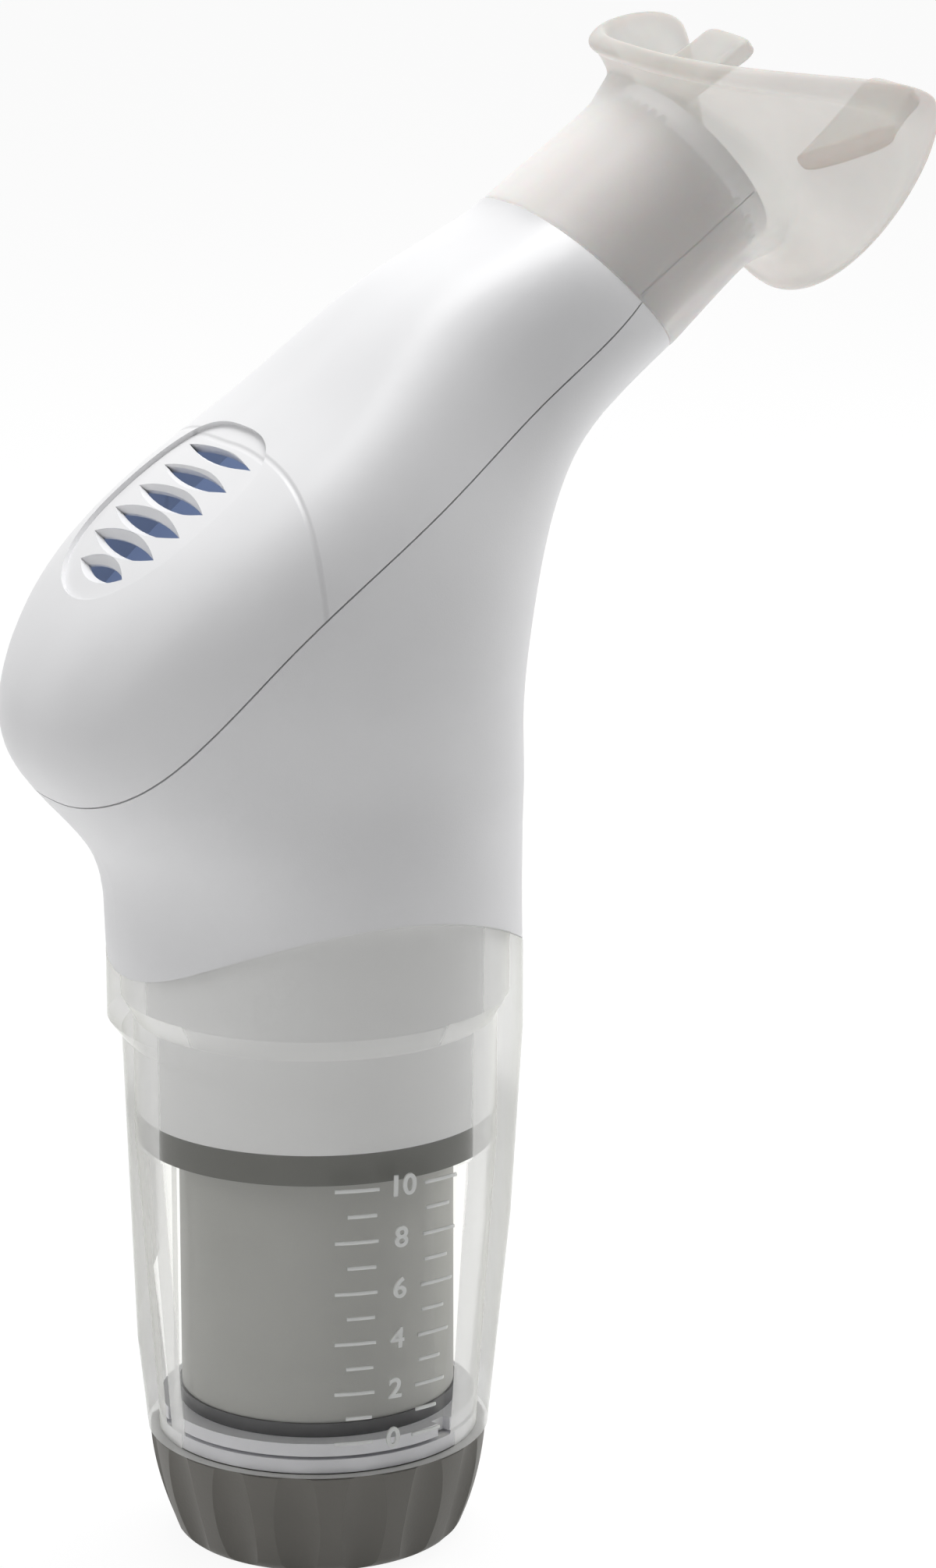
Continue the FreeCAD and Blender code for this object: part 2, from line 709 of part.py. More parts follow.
def barrel():
    """Model the clear barrel: a tapered tube with a wavy rim, a nose flat and guide rails."""
    outer = turned("BarrelOuter", [
        ("0", "barrel_bottom"), ("barrel_low_radius", "barrel_bottom"),
        ("barrel_middle_radius", "barrel_middle"), ("barrel_high_radius", "barrel_high"),
        ("barrel_high_radius", f"{WAVE_TOP} + 1"), ("0", f"{WAVE_TOP} + 1"),
    ])
    rings = []
    for number, (across, radius, height) in enumerate((
            ("0", "nose_flat_low_radius", "barrel_bottom"),
            ("nose_flat_shift", "nose_flat_high_radius", "nose_flat_top"),
            ("0", "nose_flat_high_radius", "nose_ledge_top"),
            ("0", "nose_flat_high_radius", f"{WAVE_TOP} + 1"))):
        rings.append(doc.addObject("Part::Circle", f"NoseFlatRing{number}"))
        bind(rings[-1], Radius=radius, Placement__Base__x=across, Placement__Base__z=height)
    flat = doc.addObject("Part::Loft", "NoseFlat")
    flat.Sections = rings
    flat.Solid = True
    flat.Ruled = True
    shaped = boolean("Common", "BarrelShaped", outer, flat)
    bore = turned("BarrelBore", [
        ("0", "barrel_bottom - 1"), ("bore_low_radius", "barrel_bottom - 1"),
        ("bore_low_radius", "bearing_top"), ("bore_guide_radius", "bore_guide_height"),
        ("bore_guide_radius", "bore_step_low"), ("bore_top_radius", "bore_step_high"),
        ("bore_top_radius", f"{WAVE_TOP} + 2"), ("0", f"{WAVE_TOP} + 2"),
    ])
    hollow = boolean("Cut", "BarrelHollow", shaped, bore)
    rails = new_body("BarrelRails")
    profile = outline(new_sketch(rails, "RailProfile"), [
        ("-(bore_low_radius + 0.3)", "bearing_top + running_fit"),
        ("-rail_inner_radius", "bearing_top + running_fit"),
        ("-rail_inner_radius", "bore_guide_height"),
        ("-(bore_guide_radius + 0.3)", "bore_guide_height"),
    ])
    rail = push(rails, "Pad", "Rail", profile, "rail_width")
    rail.Midplane = True
    polar(rails, "Rails", rail, "rail_count")
    railed = boolean("Fuse", "BarrelRailed", hollow, rails)
    return boolean("Common", "barrel", railed, wave_block("RimBlock", "0"))


def handle_ring():
    """Model the ring that closes the handle's tail, plugged into its bore."""
    return turned("handle_ring", [
        ("ring_bore", "tail_bottom - ring_height"), ("tail_radius", "tail_bottom - ring_height"),
        ("tail_radius", "tail_bottom"), ("tail_bore - press_gap", "tail_bottom"),
        ("tail_bore - press_gap", "tail_bottom + ring_plug"),
        ("ring_bore", "tail_bottom + ring_plug"),
    ])


def valve_seat():
    """Model the seat: a plate with a raised rim, three open ports and a hub for the stem."""
    body = new_body("valve_seat")
    turn(body, "Revolution", "Plate", [
        ("stem_radius + running_fit", f"{PLATE_BOTTOM} - seat_hub_length"),
        ("seat_hub_radius", f"{PLATE_BOTTOM} - seat_hub_length"),
        ("seat_hub_radius", PLATE_BOTTOM), ("tail_bore - press_gap", PLATE_BOTTOM),
        ("tail_bore - press_gap", PLATE_TOP), ("seat_rim_radius", PLATE_TOP),
        ("seat_rim_radius", RIM_TOP), ("seat_port", RIM_TOP), ("seat_port", PLATE_TOP),
        ("stem_radius + running_fit", PLATE_TOP),
    ])
    half = "seat_arm_width / 2"
    port = outline(new_sketch(body, "PortProfile", "XY_Plane", f"{PLATE_BOTTOM} - 1"), [
        (f"sqrt(seat_hub_radius ^ 2 - ({half}) ^ 2)", half),
        (f"sqrt(seat_port ^ 2 - ({half}) ^ 2)", half, "seat_port"),
        (f"-seat_port / 2 + {half} * cos(30 deg)",
         f"seat_port * cos(30 deg) - {half} * cos(60 deg)"),
        (f"-seat_hub_radius / 2 + {half} * cos(30 deg)",
         f"seat_hub_radius * cos(30 deg) + {half} * cos(60 deg)"),
    ])
    cut = push(body, "Pocket", "Port", port, "seat_plate + 2")
    polar(body, "Ports", cut, "seat_arm_count")
    return body


def valve_poppet():
    """Model the poppet: a disc with a hub that the stem's clip holds down."""
    return turned("valve_poppet", [
        ("stem_radius + running_fit", SEAL_TOP), ("poppet_radius", SEAL_TOP),
        ("poppet_radius", f"{SEAL_TOP} + poppet_thickness"),
        ("poppet_hub_radius", f"{SEAL_TOP} + poppet_thickness"), ("poppet_hub_radius", POPPET_TOP),
        ("stem_radius + running_fit", POPPET_TOP),
    ])


def main_spring():
    """Model the compression spring between the carriage and its upper seat, with twelve flats."""
    body = new_body("main_spring")
    corners = []
    for index in range(12):
        bearing = f"{30 * index + 15} deg"
        corners.append((f"spring_mean_radius + spring_wire / 2 * cos({bearing})",
                        f"carriage_shoulder_top + spring_wire / 2 * (1 + sin({bearing}))"))
    wire = outline(new_sketch(body, "WireProfile"), corners)
    coil = body.newObject("PartDesign::AdditiveHelix", "Coil")
    coil.Profile = wire
    coil.ReferenceAxis = (wire, ["V_Axis"])
    height = f"({SPRING_TOP} - carriage_shoulder_top - spring_wire)"
    bind(coil, Height=height, Pitch=f"{height} / spring_turns")
    return body


def spring_seat():
    """Model the cupped washer that centres the spring under the valve seat."""
    return turned("spring_seat", [
        ("spring_seat_inner", SPRING_TOP), ("spring_seat_outer - spring_seat_lip", SPRING_TOP),
        ("spring_seat_outer - spring_seat_lip", f"{SPRING_TOP} - spring_seat_lip"),
        ("spring_seat_outer", f"{SPRING_TOP} - spring_seat_lip"),
        ("spring_seat_outer", PLATE_BOTTOM), ("spring_seat_inner", PLATE_BOTTOM),
    ])


def deck_frame(height=0.0):
    """Return the placement of the exhale deck, a height above the deck's top face."""
    frame = grille_frame()
    stand = frame.Rotation.multVec(Vector(0, 0, 1))
    return Placement(frame.Base + stand * (height - size("deck_depth")), frame.Rotation)


def exhale_deck():
    """Model the deck under the cover, with its spoked port and the wall that closes its end."""
    thickness = size("deck_thickness")
    reach = size("deck_reach")
    floor = Part.makeBox(60 + reach, 80, thickness, Vector(-60, -40, -thickness))
    wall = Part.makeBox(thickness, 80, 40, Vector(reach - thickness, -40, -thickness))
    slab = floor.fuse(wall)
    port = Part.makeCylinder(size("port_radius"), 3 * thickness, Vector(0, 0, -2 * thickness))
    arm = size("port_arm")
    for angle in (0, 90):
        spoke = Part.makeBox(60, arm, 4 * thickness, Vector(-30, -arm / 2, -2 * thickness))
        spoke.rotate(Vector(0, 0, 0), Vector(0, 0, 1), angle)
        port = port.cut(spoke)
    slab = slab.cut(port)
    slab.Placement = deck_frame()
    inside = handle_form(size("shell_wall") + size("deck_clearance"))
    return plain("exhale_deck", slab.common(inside))


def hinge_line():
    """Return the flap's hinge as a distance up the deck and a height above it."""
    return "flap_radius + bead_radius + 0.1", "bead_radius + flap_gap"


def exhale_flap():
    """Model the soft flap: a disc, a tongue and the bead that it swings on."""
    body = new_body("exhale_flap")
    along, height = hinge_line()
    disc = circle(new_sketch(body, "DiscProfile", "XY_Plane", "flap_gap"), "flap_radius")
    push(body, "Pad", "Disc", disc, "flap_thickness")
    tongue = outline(new_sketch(body, "TongueProfile", "XY_Plane", "flap_gap"), [
        ("flap_radius / 2", "-tongue_width / 2"), (along, "-tongue_width / 2"),
        (along, "tongue_width / 2"), ("flap_radius / 2", "tongue_width / 2"),
    ])
    push(body, "Pad", "Tongue", tongue, "flap_thickness")
    bead = circle(new_sketch(body, "BeadProfile"), "bead_radius", along, height)
    pad = push(body, "Pad", "Bead", bead, "bead_length")
    pad.Midplane = True
    body.Placement = deck_frame()
    return body


def hinge_clip():
    """Model the clip on the deck that holds the flap's bead at both ends."""
    body = new_body("hinge_clip")
    along, height = hinge_line()
    reach = f"({along} + bead_radius + hinge_clip_wall)"
    block = outline(new_sketch(body, "BlockProfile"), [
        (f"{along} - bead_radius - 0.3", "0"), (reach, "0"),
        (reach, f"{height} + bead_radius + hinge_clip_wall"),
        (f"{along} - bead_radius - 0.3", f"{height} + bead_radius + hinge_clip_wall"),
    ])
    pad = push(body, "Pad", "Block", block, "hinge_clip_length")
    pad.Midplane = True
    groove = circle(new_sketch(body, "BeadGroove"), "bead_radius + flap_gap", along, height)
    bore = push(body, "Pocket", "Bore", groove, "bead_length + 2 * flap_gap")
    bore.Midplane = True
    window = outline(new_sketch(body, "WindowProfile", "XY_Plane", "-1"), [
        (f"{along} - bead_radius - 1", "-(tongue_width / 2 + 0.4)"),
        (f"{along} + bead_radius / 2", "-(tongue_width / 2 + 0.4)"),
        (f"{along} + bead_radius / 2", "tongue_width / 2 + 0.4"),
        (f"{along} - bead_radius - 1", "tongue_width / 2 + 0.4"),
    ])
    push(body, "Pocket", "Window", window, "bead_radius * 2 + hinge_clip_wall + 3")
    body.Placement = deck_frame()
    return body


def flange_cylinder(radius, reach=120):
    """Make the round block whose side is a face of the curved flange."""
    axis = direction(size("mouth_pitch"))
    away = size("flange_start") + size("flange_thickness") + size("flange_radius")
    upright = Rotation(Vector(0, 1, 0), -size("mouth_pitch"))
    block = Part.makeCylinder(radius, reach, Vector(0, 0, -reach / 2))
    block.Placement = Placement(cuff_centre() + axis * away, upright)
    return block


def mouth_section(distance, front, back, side, squarefront=2.2, squareback=2.2):
    """Make a section square to the mouth axis at a distance from the cuff's centre."""
    centre = cuff_centre() + direction(size("mouth_pitch")) * distance
    return section_wire(centre, 90 - size("mouth_pitch"), front, back, side, squarefront,
                        squareback)


def bite_block(side):
    """Make one bite tab, a slab with a rounded end that grows out of the flange."""
    inner, outer, end = size("bite_inner"), size("bite_outer"), size("bite_end")
    thick = size("bite_thickness")
    slab = Part.makeBox(end - size("flange_start"), outer - inner, thick,
                        Vector(size("flange_start"), inner, -thick / 2))
    rounded = [edge for edge in slab.Edges if all(
        abs(vertex.X - end) < 0.001 for vertex in edge.Vertexes)]
    slab = slab.makeFillet(size("bite_round"), rounded)
    if side < 0:
        slab = slab.mirror(Vector(0, 0, 0), Vector(0, 1, 0))
    slab.Placement = Placement(cuff_centre(), Rotation(Vector(0, 1, 0), -size("mouth_pitch")))
    return slab.common(flange_cylinder(size("flange_radius") + size("flange_thickness") / 2))


def mouthpiece():
    """Model the soft mouthpiece: a collar, a flared neck, a saddle flange and two bite tabs."""
    length = size("collar_length")
    rise, side = size("collar_rise"), size("collar_side")
    start, thick = size("flange_start"), size("flange_thickness")
    collar = Part.makeLoft([handle_section("cuff"), mouth_section(length, rise, rise, side)],
                           True, True)
    flare_rise, flare_side = size("flare_rise"), size("flare_side")
    flare = Part.makeLoft([
        mouth_section(length, rise, rise, side),
        mouth_section((length + start) / 2, rise * 0.86 + flare_rise * 0.14,
                      rise * 0.86 + flare_rise * 0.14, side * 0.86 + flare_side * 0.14),
        mouth_section(start, rise * 0.5 + flare_rise * 0.5, rise * 0.5 + flare_rise * 0.5,
                      side * 0.5 + flare_side * 0.5),
        mouth_section(start + 1.5 * thick, flare_rise, flare_rise, flare_side),
    ], True, False)
    shield = Part.Face(mouth_section(
        start - thick, size("flange_up"), size("flange_down"), size("flange_side"), 1.8, 2.1))
    shield = shield.extrude(direction(size("mouth_pitch")) * (size("flange_radius") + 2 * thick))
    inside = flange_cylinder(size("flange_radius"))
    shield = shield.common(flange_cylinder(size("flange_radius") + thick))
    soft = collar.fuse([flare, shield]).cut(inside)
    soft = soft.fuse([bite_block(1), bite_block(-1)])
    fit = size("collar_fit")
    bore = oval_bar(size("spigot_rise") + fit, size("spigot_side") + fit, -length,
                    size("spigot_length") + fit)
    airway = oval_bar(size("airway_rise"), size("airway_side"), 0, start + 3 * thick)
    return plain("mouthpiece", soft.cut([bore, airway]).removeSplitter())


def build_pieces():
    """Build every piece and return the document objects that are nodes."""
    shell = handle_shell()
    pieces = [
        tension_knob(),
        ring("thrust_washer", "hub_radius + running_fit", "journal_outer", "knob_floor",
             WASHER_TOP),
        ring("knob_clip", "hub_radius - clip_groove_depth + running_fit", "clip_outer",
             CLIP_BOTTOM, CLIP_TOP),
        end_bearing(),
        barrel(),
        lead_screw(),
        spring_carriage(),
        ring("pointer_ring", "carriage_shoulder_radius + running_fit", "pointer_radius",
             "carriage_top", POINTER_TOP),
        ring("spring_sleeve", "sleeve_radius - sleeve_wall", "sleeve_radius", POINTER_TOP,
             "sleeve_top"),
        main_spring(),
        spring_seat(),
        handle_ring(),
        valve_seat(),
        ring("seat_gasket", "ledge_opening", "tail_bore - press_gap", PLATE_TOP, "ledge_bottom"),
        ring("poppet_seal", "seal_inner", "poppet_radius", SEAL_BOTTOM, SEAL_TOP),
        valve_poppet(),
        ring("stem_clip", "stem_radius - stem_groove_depth + running_fit", "stem_clip_radius",
             POPPET_TOP, f"{POPPET_TOP} + stem_clip_thickness"),
        exhale_deck(),
        exhale_flap(),
        hinge_clip(),
        handle_body(shell),
        handle_cover(shell),
        mouthpiece(),
    ]
    doc.removeObject(probe.Name)
    doc.recompute()
    return pieces


def check_and_export(pieces):
    """Stop on a failed object, then write each piece to its own file."""
    for item in doc.Objects:
        failed = {"Invalid", "Error"} & set(item.State)
        if failed:
            raise RuntimeError(f"{item.Label} failed: {item.State}")
    os.makedirs("parts", exist_ok=True)
    for piece in pieces:
        shape = piece.Shape
        if shape.isNull() or not shape.isValid():
            raise RuntimeError(f"{piece.Label} has no valid shape")
        shape.exportStep(f"parts/{piece.Label}.step")
        print(f"{piece.Label}: {len(shape.Solids)} solid, {shape.Volume:.1f} cubic mm")


check_and_export(build_pieces())
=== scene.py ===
"""Looks of an inspiratory muscle trainer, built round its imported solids."""

import json
import logging
import math
from collections.abc import Callable, Sequence
from dataclasses import dataclass, field
from enum import Enum
from typing import Protocol

import bmesh
import bpy
from mathutils import Matrix, Vector

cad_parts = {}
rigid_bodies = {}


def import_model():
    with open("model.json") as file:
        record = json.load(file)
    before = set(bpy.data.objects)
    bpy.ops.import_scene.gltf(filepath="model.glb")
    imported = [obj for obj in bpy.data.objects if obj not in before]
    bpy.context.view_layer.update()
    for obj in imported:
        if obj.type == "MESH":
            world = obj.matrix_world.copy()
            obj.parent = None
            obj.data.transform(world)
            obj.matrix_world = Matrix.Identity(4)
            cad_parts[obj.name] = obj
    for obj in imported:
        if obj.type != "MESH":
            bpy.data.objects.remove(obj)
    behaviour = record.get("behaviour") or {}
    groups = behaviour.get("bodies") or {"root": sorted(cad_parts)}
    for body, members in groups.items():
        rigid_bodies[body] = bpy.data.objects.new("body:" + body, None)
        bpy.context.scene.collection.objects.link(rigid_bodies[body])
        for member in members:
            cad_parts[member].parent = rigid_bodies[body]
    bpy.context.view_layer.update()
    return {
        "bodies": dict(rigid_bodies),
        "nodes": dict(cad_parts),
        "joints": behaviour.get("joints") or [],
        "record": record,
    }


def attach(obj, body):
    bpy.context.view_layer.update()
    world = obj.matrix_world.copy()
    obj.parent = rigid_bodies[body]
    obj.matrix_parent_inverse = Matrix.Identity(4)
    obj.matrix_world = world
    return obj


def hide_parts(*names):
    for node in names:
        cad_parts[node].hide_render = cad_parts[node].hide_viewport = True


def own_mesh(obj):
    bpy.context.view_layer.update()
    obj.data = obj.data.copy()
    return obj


Triple = tuple[float, float, float]
Colour = Triple

LOG = logging.getLogger("breathing_trainer")
MM = 0.001
WHITE = (1.0, 1.0, 1.0, 1.0)
SMOOTH_ANGLE = math.radians(28.0)


class Signal:
    """A shader socket that can be used in Python expressions."""

    def __init__(self, graph: "Graph", socket: bpy.types.NodeSocket) -> None:
        """Keep the socket and the graph that it belongs to."""
        self.graph = graph
        self.socket = socket

    def _math(self, operation: str, *values: "Signal | float") -> "Signal":
        """Add a Math node.

        Args:
            operation: The Math node's operation.
            values: Its inputs, in order.

        Returns:
            The node's result.
        """
        return self.graph.node("ShaderNodeMath", {"operation": operation}, list(values))

    def __add__(self, other: "Signal | float") -> "Signal":
        """Add two values."""
        return self._math("ADD", self, other)

    def __radd__(self, other: float) -> "Signal":
        """Add a value to a number."""
        return self._math("ADD", other, self)

    def __sub__(self, other: "Signal | float") -> "Signal":
        """Take a value away."""
        return self._math("SUBTRACT", self, other)

    def __rsub__(self, other: float) -> "Signal":
        """Take this value away from a number."""
        return self._math("SUBTRACT", other, self)

    def __mul__(self, other: "Signal | float") -> "Signal":
        """Multiply two values."""
        return self._math("MULTIPLY", self, other)

    def __rmul__(self, other: float) -> "Signal":
        """Multiply a number by this value."""
        return self._math("MULTIPLY", other, self)

    def absolute(self) -> "Signal":
        """Drop the sign."""
        return self._math("ABSOLUTE", self)

    def band(self, low: float, high: float, smooth: bool = True) -> "Signal":
        """Map a range onto 0 to 1 and clamp it.

        Args:
            low: The value that gives 0.
            high: The value that gives 1.
            smooth: Whether the ramp eases in and out.

        Returns:
            The mapped value.
        """
        kind = "SMOOTHSTEP" if smooth else "LINEAR"
        return self.graph.node("ShaderNodeMapRange", {"interpolation_type": kind, "clamp": True},
                               {"Value": self, "From Min": low, "From Max": high,
                                "To Min": 0.0, "To Max": 1.0})


class Graph:
    """The node tree of one material or world."""

    def __init__(self, owner: bpy.types.Material | bpy.types.World,
                 output: str = "ShaderNodeOutputMaterial") -> None:
        """Empty the owner's tree but for an output node.

        Args:
            owner: The material or the world.
            output: The type of its output node.
        """
        owner.use_nodes = True
        self.owner = owner
        self.tree = owner.node_tree
        self.tree.nodes.clear()
        self.output = self.tree.nodes.new(output)

    def node(self, kind: str, settings: dict[str, object], inputs: dict | list,
             output: str | int = 0) -> Signal:
        """Add a node, set it up and wire its inputs.

        Args:
            kind: The node's type.
            settings: Its properties, set before its sockets.
            inputs: The values or links of its sockets, by name or in order.
            output: The output socket to return.

        Returns:
            The chosen output.
        """
        node = self.tree.nodes.new(kind)
        for name, value in settings.items():
            setattr(node, name, value)
        pairs = inputs.items() if isinstance(inputs, dict) else enumerate(inputs)
        for name, value in pairs:
            if isinstance(value, Signal):
                self.tree.links.new(value.socket, node.inputs[name])
            else:
                node.inputs[name].default_value = value
        return Signal(self, node.outputs[output])

    def place(self) -> Signal:
        """Return the position in metres in the object's own frame."""
        return self.node("ShaderNodeTexCoord", {}, {}, "Object")

    def axis(self, name: str) -> Signal:
        """Return one coordinate of the position, in metres."""
        return self.node("ShaderNodeSeparateXYZ", {}, [self.place()], name)

    def noise(self, scale: float, detail: float = 2.0, roughness: float = 0.5) -> Signal:
        """Return a soft noise.

        Args:
            scale: Lumps to the metre.
            detail: Octaves.
            roughness: How strong the finer octaves are.

        Returns:
            A value around one half.
        """
        return self.node("ShaderNodeTexNoise", {},
                         {"Vector": self.place(), "Scale": scale, "Detail": detail,
                          "Roughness": roughness}, "Fac")

    def facing(self) -> Signal:
        """Return 0 where the surface is seen square on and 1 where it is seen edge on."""
        return self.node("ShaderNodeLayerWeight", {}, {"Blend": 0.5}, "Facing")

    def blend(self, mask: Signal, low: Colour | Signal, high: Colour | Signal) -> Signal:
        """Mix two colours by a mask.

        Args:
            mask: 0 for the first colour and 1 for the second.
            low: The first colour.
            high: The second colour.

        Returns:
            The mixed colour.
        """
        first, second = (end if isinstance(end, Signal) else (*end, 1.0) for end in (low, high))
        return self.node("ShaderNodeMix", {"data_type": "RGBA"}, {0: mask, 6: first, 7: second}, 2)

    def bump(self, height: Signal, depth: float) -> Signal:
        """Turn a height from 0 to 1 into a normal, with a depth in metres."""
        return self.node("ShaderNodeBump", {},
                         {"Height": height, "Distance": depth, "Strength": 1.0}, "Normal")

    def principled(self, inputs: dict[str, object]) -> Signal:
        """Add the main shader."""
        return self.node("ShaderNodeBsdfPrincipled", {}, inputs, "BSDF")

    def see_through(self, colour: Colour) -> Signal:
        """Add a shader that lets rays straight through, tinted by a colour."""
        return self.node("ShaderNodeBsdfTransparent", {}, {"Color": (*colour, 1.0)})

    def mix(self, share: Signal | float, first: Signal, second: Signal) -> Signal:
        """Mix two shaders.

        Args:
            share: 0 for the first shader and 1 for the second.
            first: The first shader.
            second: The second shader.

        Returns:
            The mixed shader.
        """
        return self.node("ShaderNodeMixShader", {}, [share, first, second])

    def finish(self, shader: Signal) -> bpy.types.Material | bpy.types.World:
        """Wire the shader to the output and return the material or world."""
        self.tree.links.new(shader.socket, self.output.inputs["Surface"])
        return self.owner


class Recipe(Protocol):
    """What every finish can do."""

    def build(self, name: str) -> bpy.types.Material:
        """Build the material.

        Args:
            name: The material's name.

        Returns:
            The finished material.
        """


@dataclass(frozen=True)
class MouldedPlastic:
    """Moulded plastic with a fine spark-eroded grain and a slow drift of tone.

    Attributes:
        colour: The plastic's colour.
        shade: The darker colour that it drifts to.
        roughness: The mean roughness.
        grain: Lumps of the grain to the metre.
        grain_depth: The grain's depth in metres.
        crease_at: Where a moulded crease with painted shade along it crosses X, in metres; None for
            no crease.
        crease_height: The Z at which it does so, in metres.
        crease_lean: How far the crease leans along X for each metre of height.
        crease_half: Half the crease's width, in metres.
        glow: The strength of painted light, an emission that brightens the plastic though it is no
            lamp.
    """

    colour: Colour
    shade: Colour
    roughness: float = 0.42
    grain: float = 5200.0
    grain_depth: float = 0.000012
    crease_at: float | None = None
    crease_height: float = 0.113
    crease_lean: float = 0.06
    crease_half: float = 0.00042
    glow: float = 0.0

    def build(self, name: str) -> bpy.types.Material:
        """Build the material.

        Args:
            name: The material's name.

        Returns:
            The finished material.
        """
        graph = Graph(bpy.data.materials.new(name))
        drift = graph.noise(38.0, 3.0)
        fine = graph.noise(self.grain, 2.0, 0.6)
        colour = graph.blend(drift.band(0.35, 0.7), self.colour, self.shade)
        height = fine
        if self.crease_at is not None:
            wander = (graph.axis("Z") - self.crease_height) * self.crease_lean
            distance = (graph.axis("X") - self.crease_at + wander).absolute()
            groove = 1.0 - distance.band(0.0, self.crease_half)
            # Painted shade: the colour darkens along the crease, where shade falls in the groove.
            darker = tuple(0.72 * part for part in self.shade)
            colour = graph.blend(groove * 0.35, colour, darker)
            height = fine * 0.1 - groove * 8.0
        inputs = {
            "Base Color": colour,
            "Roughness": drift * 0.06 + (self.roughness - 0.03) + fine * 0.04,
            "Normal": graph.bump(height, self.grain_depth),
            "IOR": 1.49,
        }
        # Painted light: an emission that brightens the plastic though it is no lamp.
        if self.glow:
            inputs |= {"Emission Color": colour, "Emission Strength": self.glow}
        return graph.finish(graph.principled(inputs))


@dataclass(frozen=True)
class ClearPlastic:
    """Thin clear moulded plastic, seen straight through and yellow-green along its edges.

    Attributes:
        colour: The tint of what is seen through it.
        edge: The colour where it is seen edge on.
        roughness: The least roughness.
        ripple: The depth of its waves in metres.
        body: How much of it is solid even where it is seen square on.
    """

    colour: Colour
    edge: Colour
    roughness: float = 0.03
    ripple: float = 0.00001
    body: float = 0.0

    def build(self, name: str) -> bpy.types.Material:
        """Build the material.

        Args:
            name: The material's name.

        Returns:
            The finished material.
        """
        graph = Graph(bpy.data.materials.new(name))
        shine = graph.node("ShaderNodeLayerWeight", {}, {"Blend": 0.12}, "Fresnel")
        rim = graph.facing().band(0.62, 0.99)
        gloss = graph.principled({
            "Base Color": graph.blend(rim, self.colour, self.edge),
            "Roughness": graph.noise(700.0) * 0.03 + self.roughness,
            "Normal": graph.bump(graph.noise(160.0, 1.0), self.ripple),
            "IOR": 1.49,
        })
        solid = (shine * 0.7 + rim * 0.2 + self.body).band(0.0, 1.0, False)
        return graph.finish(graph.mix(solid, graph.see_through(self.colour), gloss))


@dataclass(frozen=True)
class Silicone:
    """Translucent silicone, cloudier where it is seen edge on.

    Attributes:
        colour: The silicone's colour.
        cloud: The darker colour that it drifts to.
        painted_collar_light: A lighter colour painted on the collar as painted light, in place of
            the light that the white spigot behind it sends through.
        clear: How much is seen through it where it is seen square on.
        roughness: The mean roughness.
        mouth_axis: The mouth axis, along X and Z.
        collar_end: Where along that axis the collar's painted light gives way, in metres.
    """

    colour: Colour
    cloud: Colour
    painted_collar_light: Colour
    clear: float = 0.6
    roughness: float = 0.34
    mouth_axis: tuple[float, float] = (0.788, 0.616)
    collar_end: tuple[float, float] = (0.1285, 0.1335)

    def build(self, name: str) -> bpy.types.Material:
        """Build the material.

        Args:
            name: The material's name.

        Returns:
            The finished material.
        """
        graph = Graph(bpy.data.materials.new(name))
        cloud = graph.noise(90.0, 3.0)
        cloudy = cloud.band(0.35, 0.7)
        along = graph.axis("X") * self.mouth_axis[0] + graph.axis("Z") * self.mouth_axis[1]
        # Painted light: this mask is 0 on the collar, which gets a lighter painted colour, and 1
        # beyond it.
        free = along.band(*self.collar_end)
        skin = graph.principled({
            "Base Color": graph.blend(free, self.painted_collar_light,
                                      graph.blend(cloudy, self.colour, self.cloud)),
            "Roughness": cloud * 0.08 + (self.roughness - 0.04),
            "Normal": graph.bump(graph.noise(3800.0), 0.000012),
            "IOR": 1.41,
            "Subsurface Weight": 0.35,
            "Subsurface Scale": 0.004,
        })
        # The collar's translucent colour carries the same painted light.
        painted_collar_light, plain, clouded = (
            graph.node("ShaderNodeBsdfTranslucent", {}, {"Color": (*colour, 1.0)})
            for colour in (self.painted_collar_light, self.colour, self.cloud))
        glow = graph.mix(free, painted_collar_light, graph.mix(cloudy, plain, clouded))
        soft = graph.mix(0.3, skin, glow)
        see = (1.0 - graph.facing().band(0.3, 0.98)) * self.clear
        return graph.finish(graph.mix(see, soft, graph.see_through((0.97, 0.96, 0.95))))


@dataclass(frozen=True)
class Rubber:
    """Dark elastomer with a bloomed, slightly uneven skin.

    Attributes:
        colour: The rubber's colour.
        bloom: The paler colour of the bloom.
        roughness: The mean roughness.
    """

    colour: Colour
    bloom: Colour
    roughness: float = 0.62

    def build(self, name: str) -> bpy.types.Material:
        """Build the material.

        Args:
            name: The material's name.

        Returns:
            The finished material.
        """
        graph = Graph(bpy.data.materials.new(name))
        bloom = graph.noise(240.0, 4.0, 0.6)
        return graph.finish(graph.principled({
            "Base Color": graph.blend(bloom.band(0.4, 0.75), self.colour, self.bloom),
            "Roughness": bloom * 0.12 + (self.roughness - 0.06),
            "Normal": graph.bump(graph.noise(3000.0), 0.00002),
        }))


@dataclass(frozen=True)
class DrawnSteel:
    """Drawn spring steel with fine lines and a faint stain.

    Attributes:
        colour: The steel's colour.
        roughness: The least roughness.
    """

    colour: Colour
    roughness: float = 0.28

    def build(self, name: str) -> bpy.types.Material:
        """Build the material.

        Args:
            name: The material's name.

        Returns:
            The finished material.
        """
        graph = Graph(bpy.data.materials.new(name))
        lines = graph.noise(5200.0, 3.0, 0.7)
        stain = graph.noise(130.0, 3.0).band(0.4, 0.8)
        darker = tuple(0.78 * part for part in self.colour)
        return graph.finish(graph.principled({
            "Base Color": graph.blend(stain, self.colour, darker),
            "Metallic": 1.0,
            "Roughness": lines * 0.12 + self.roughness,
            "Normal": graph.bump(lines, 0.000006),
        }))


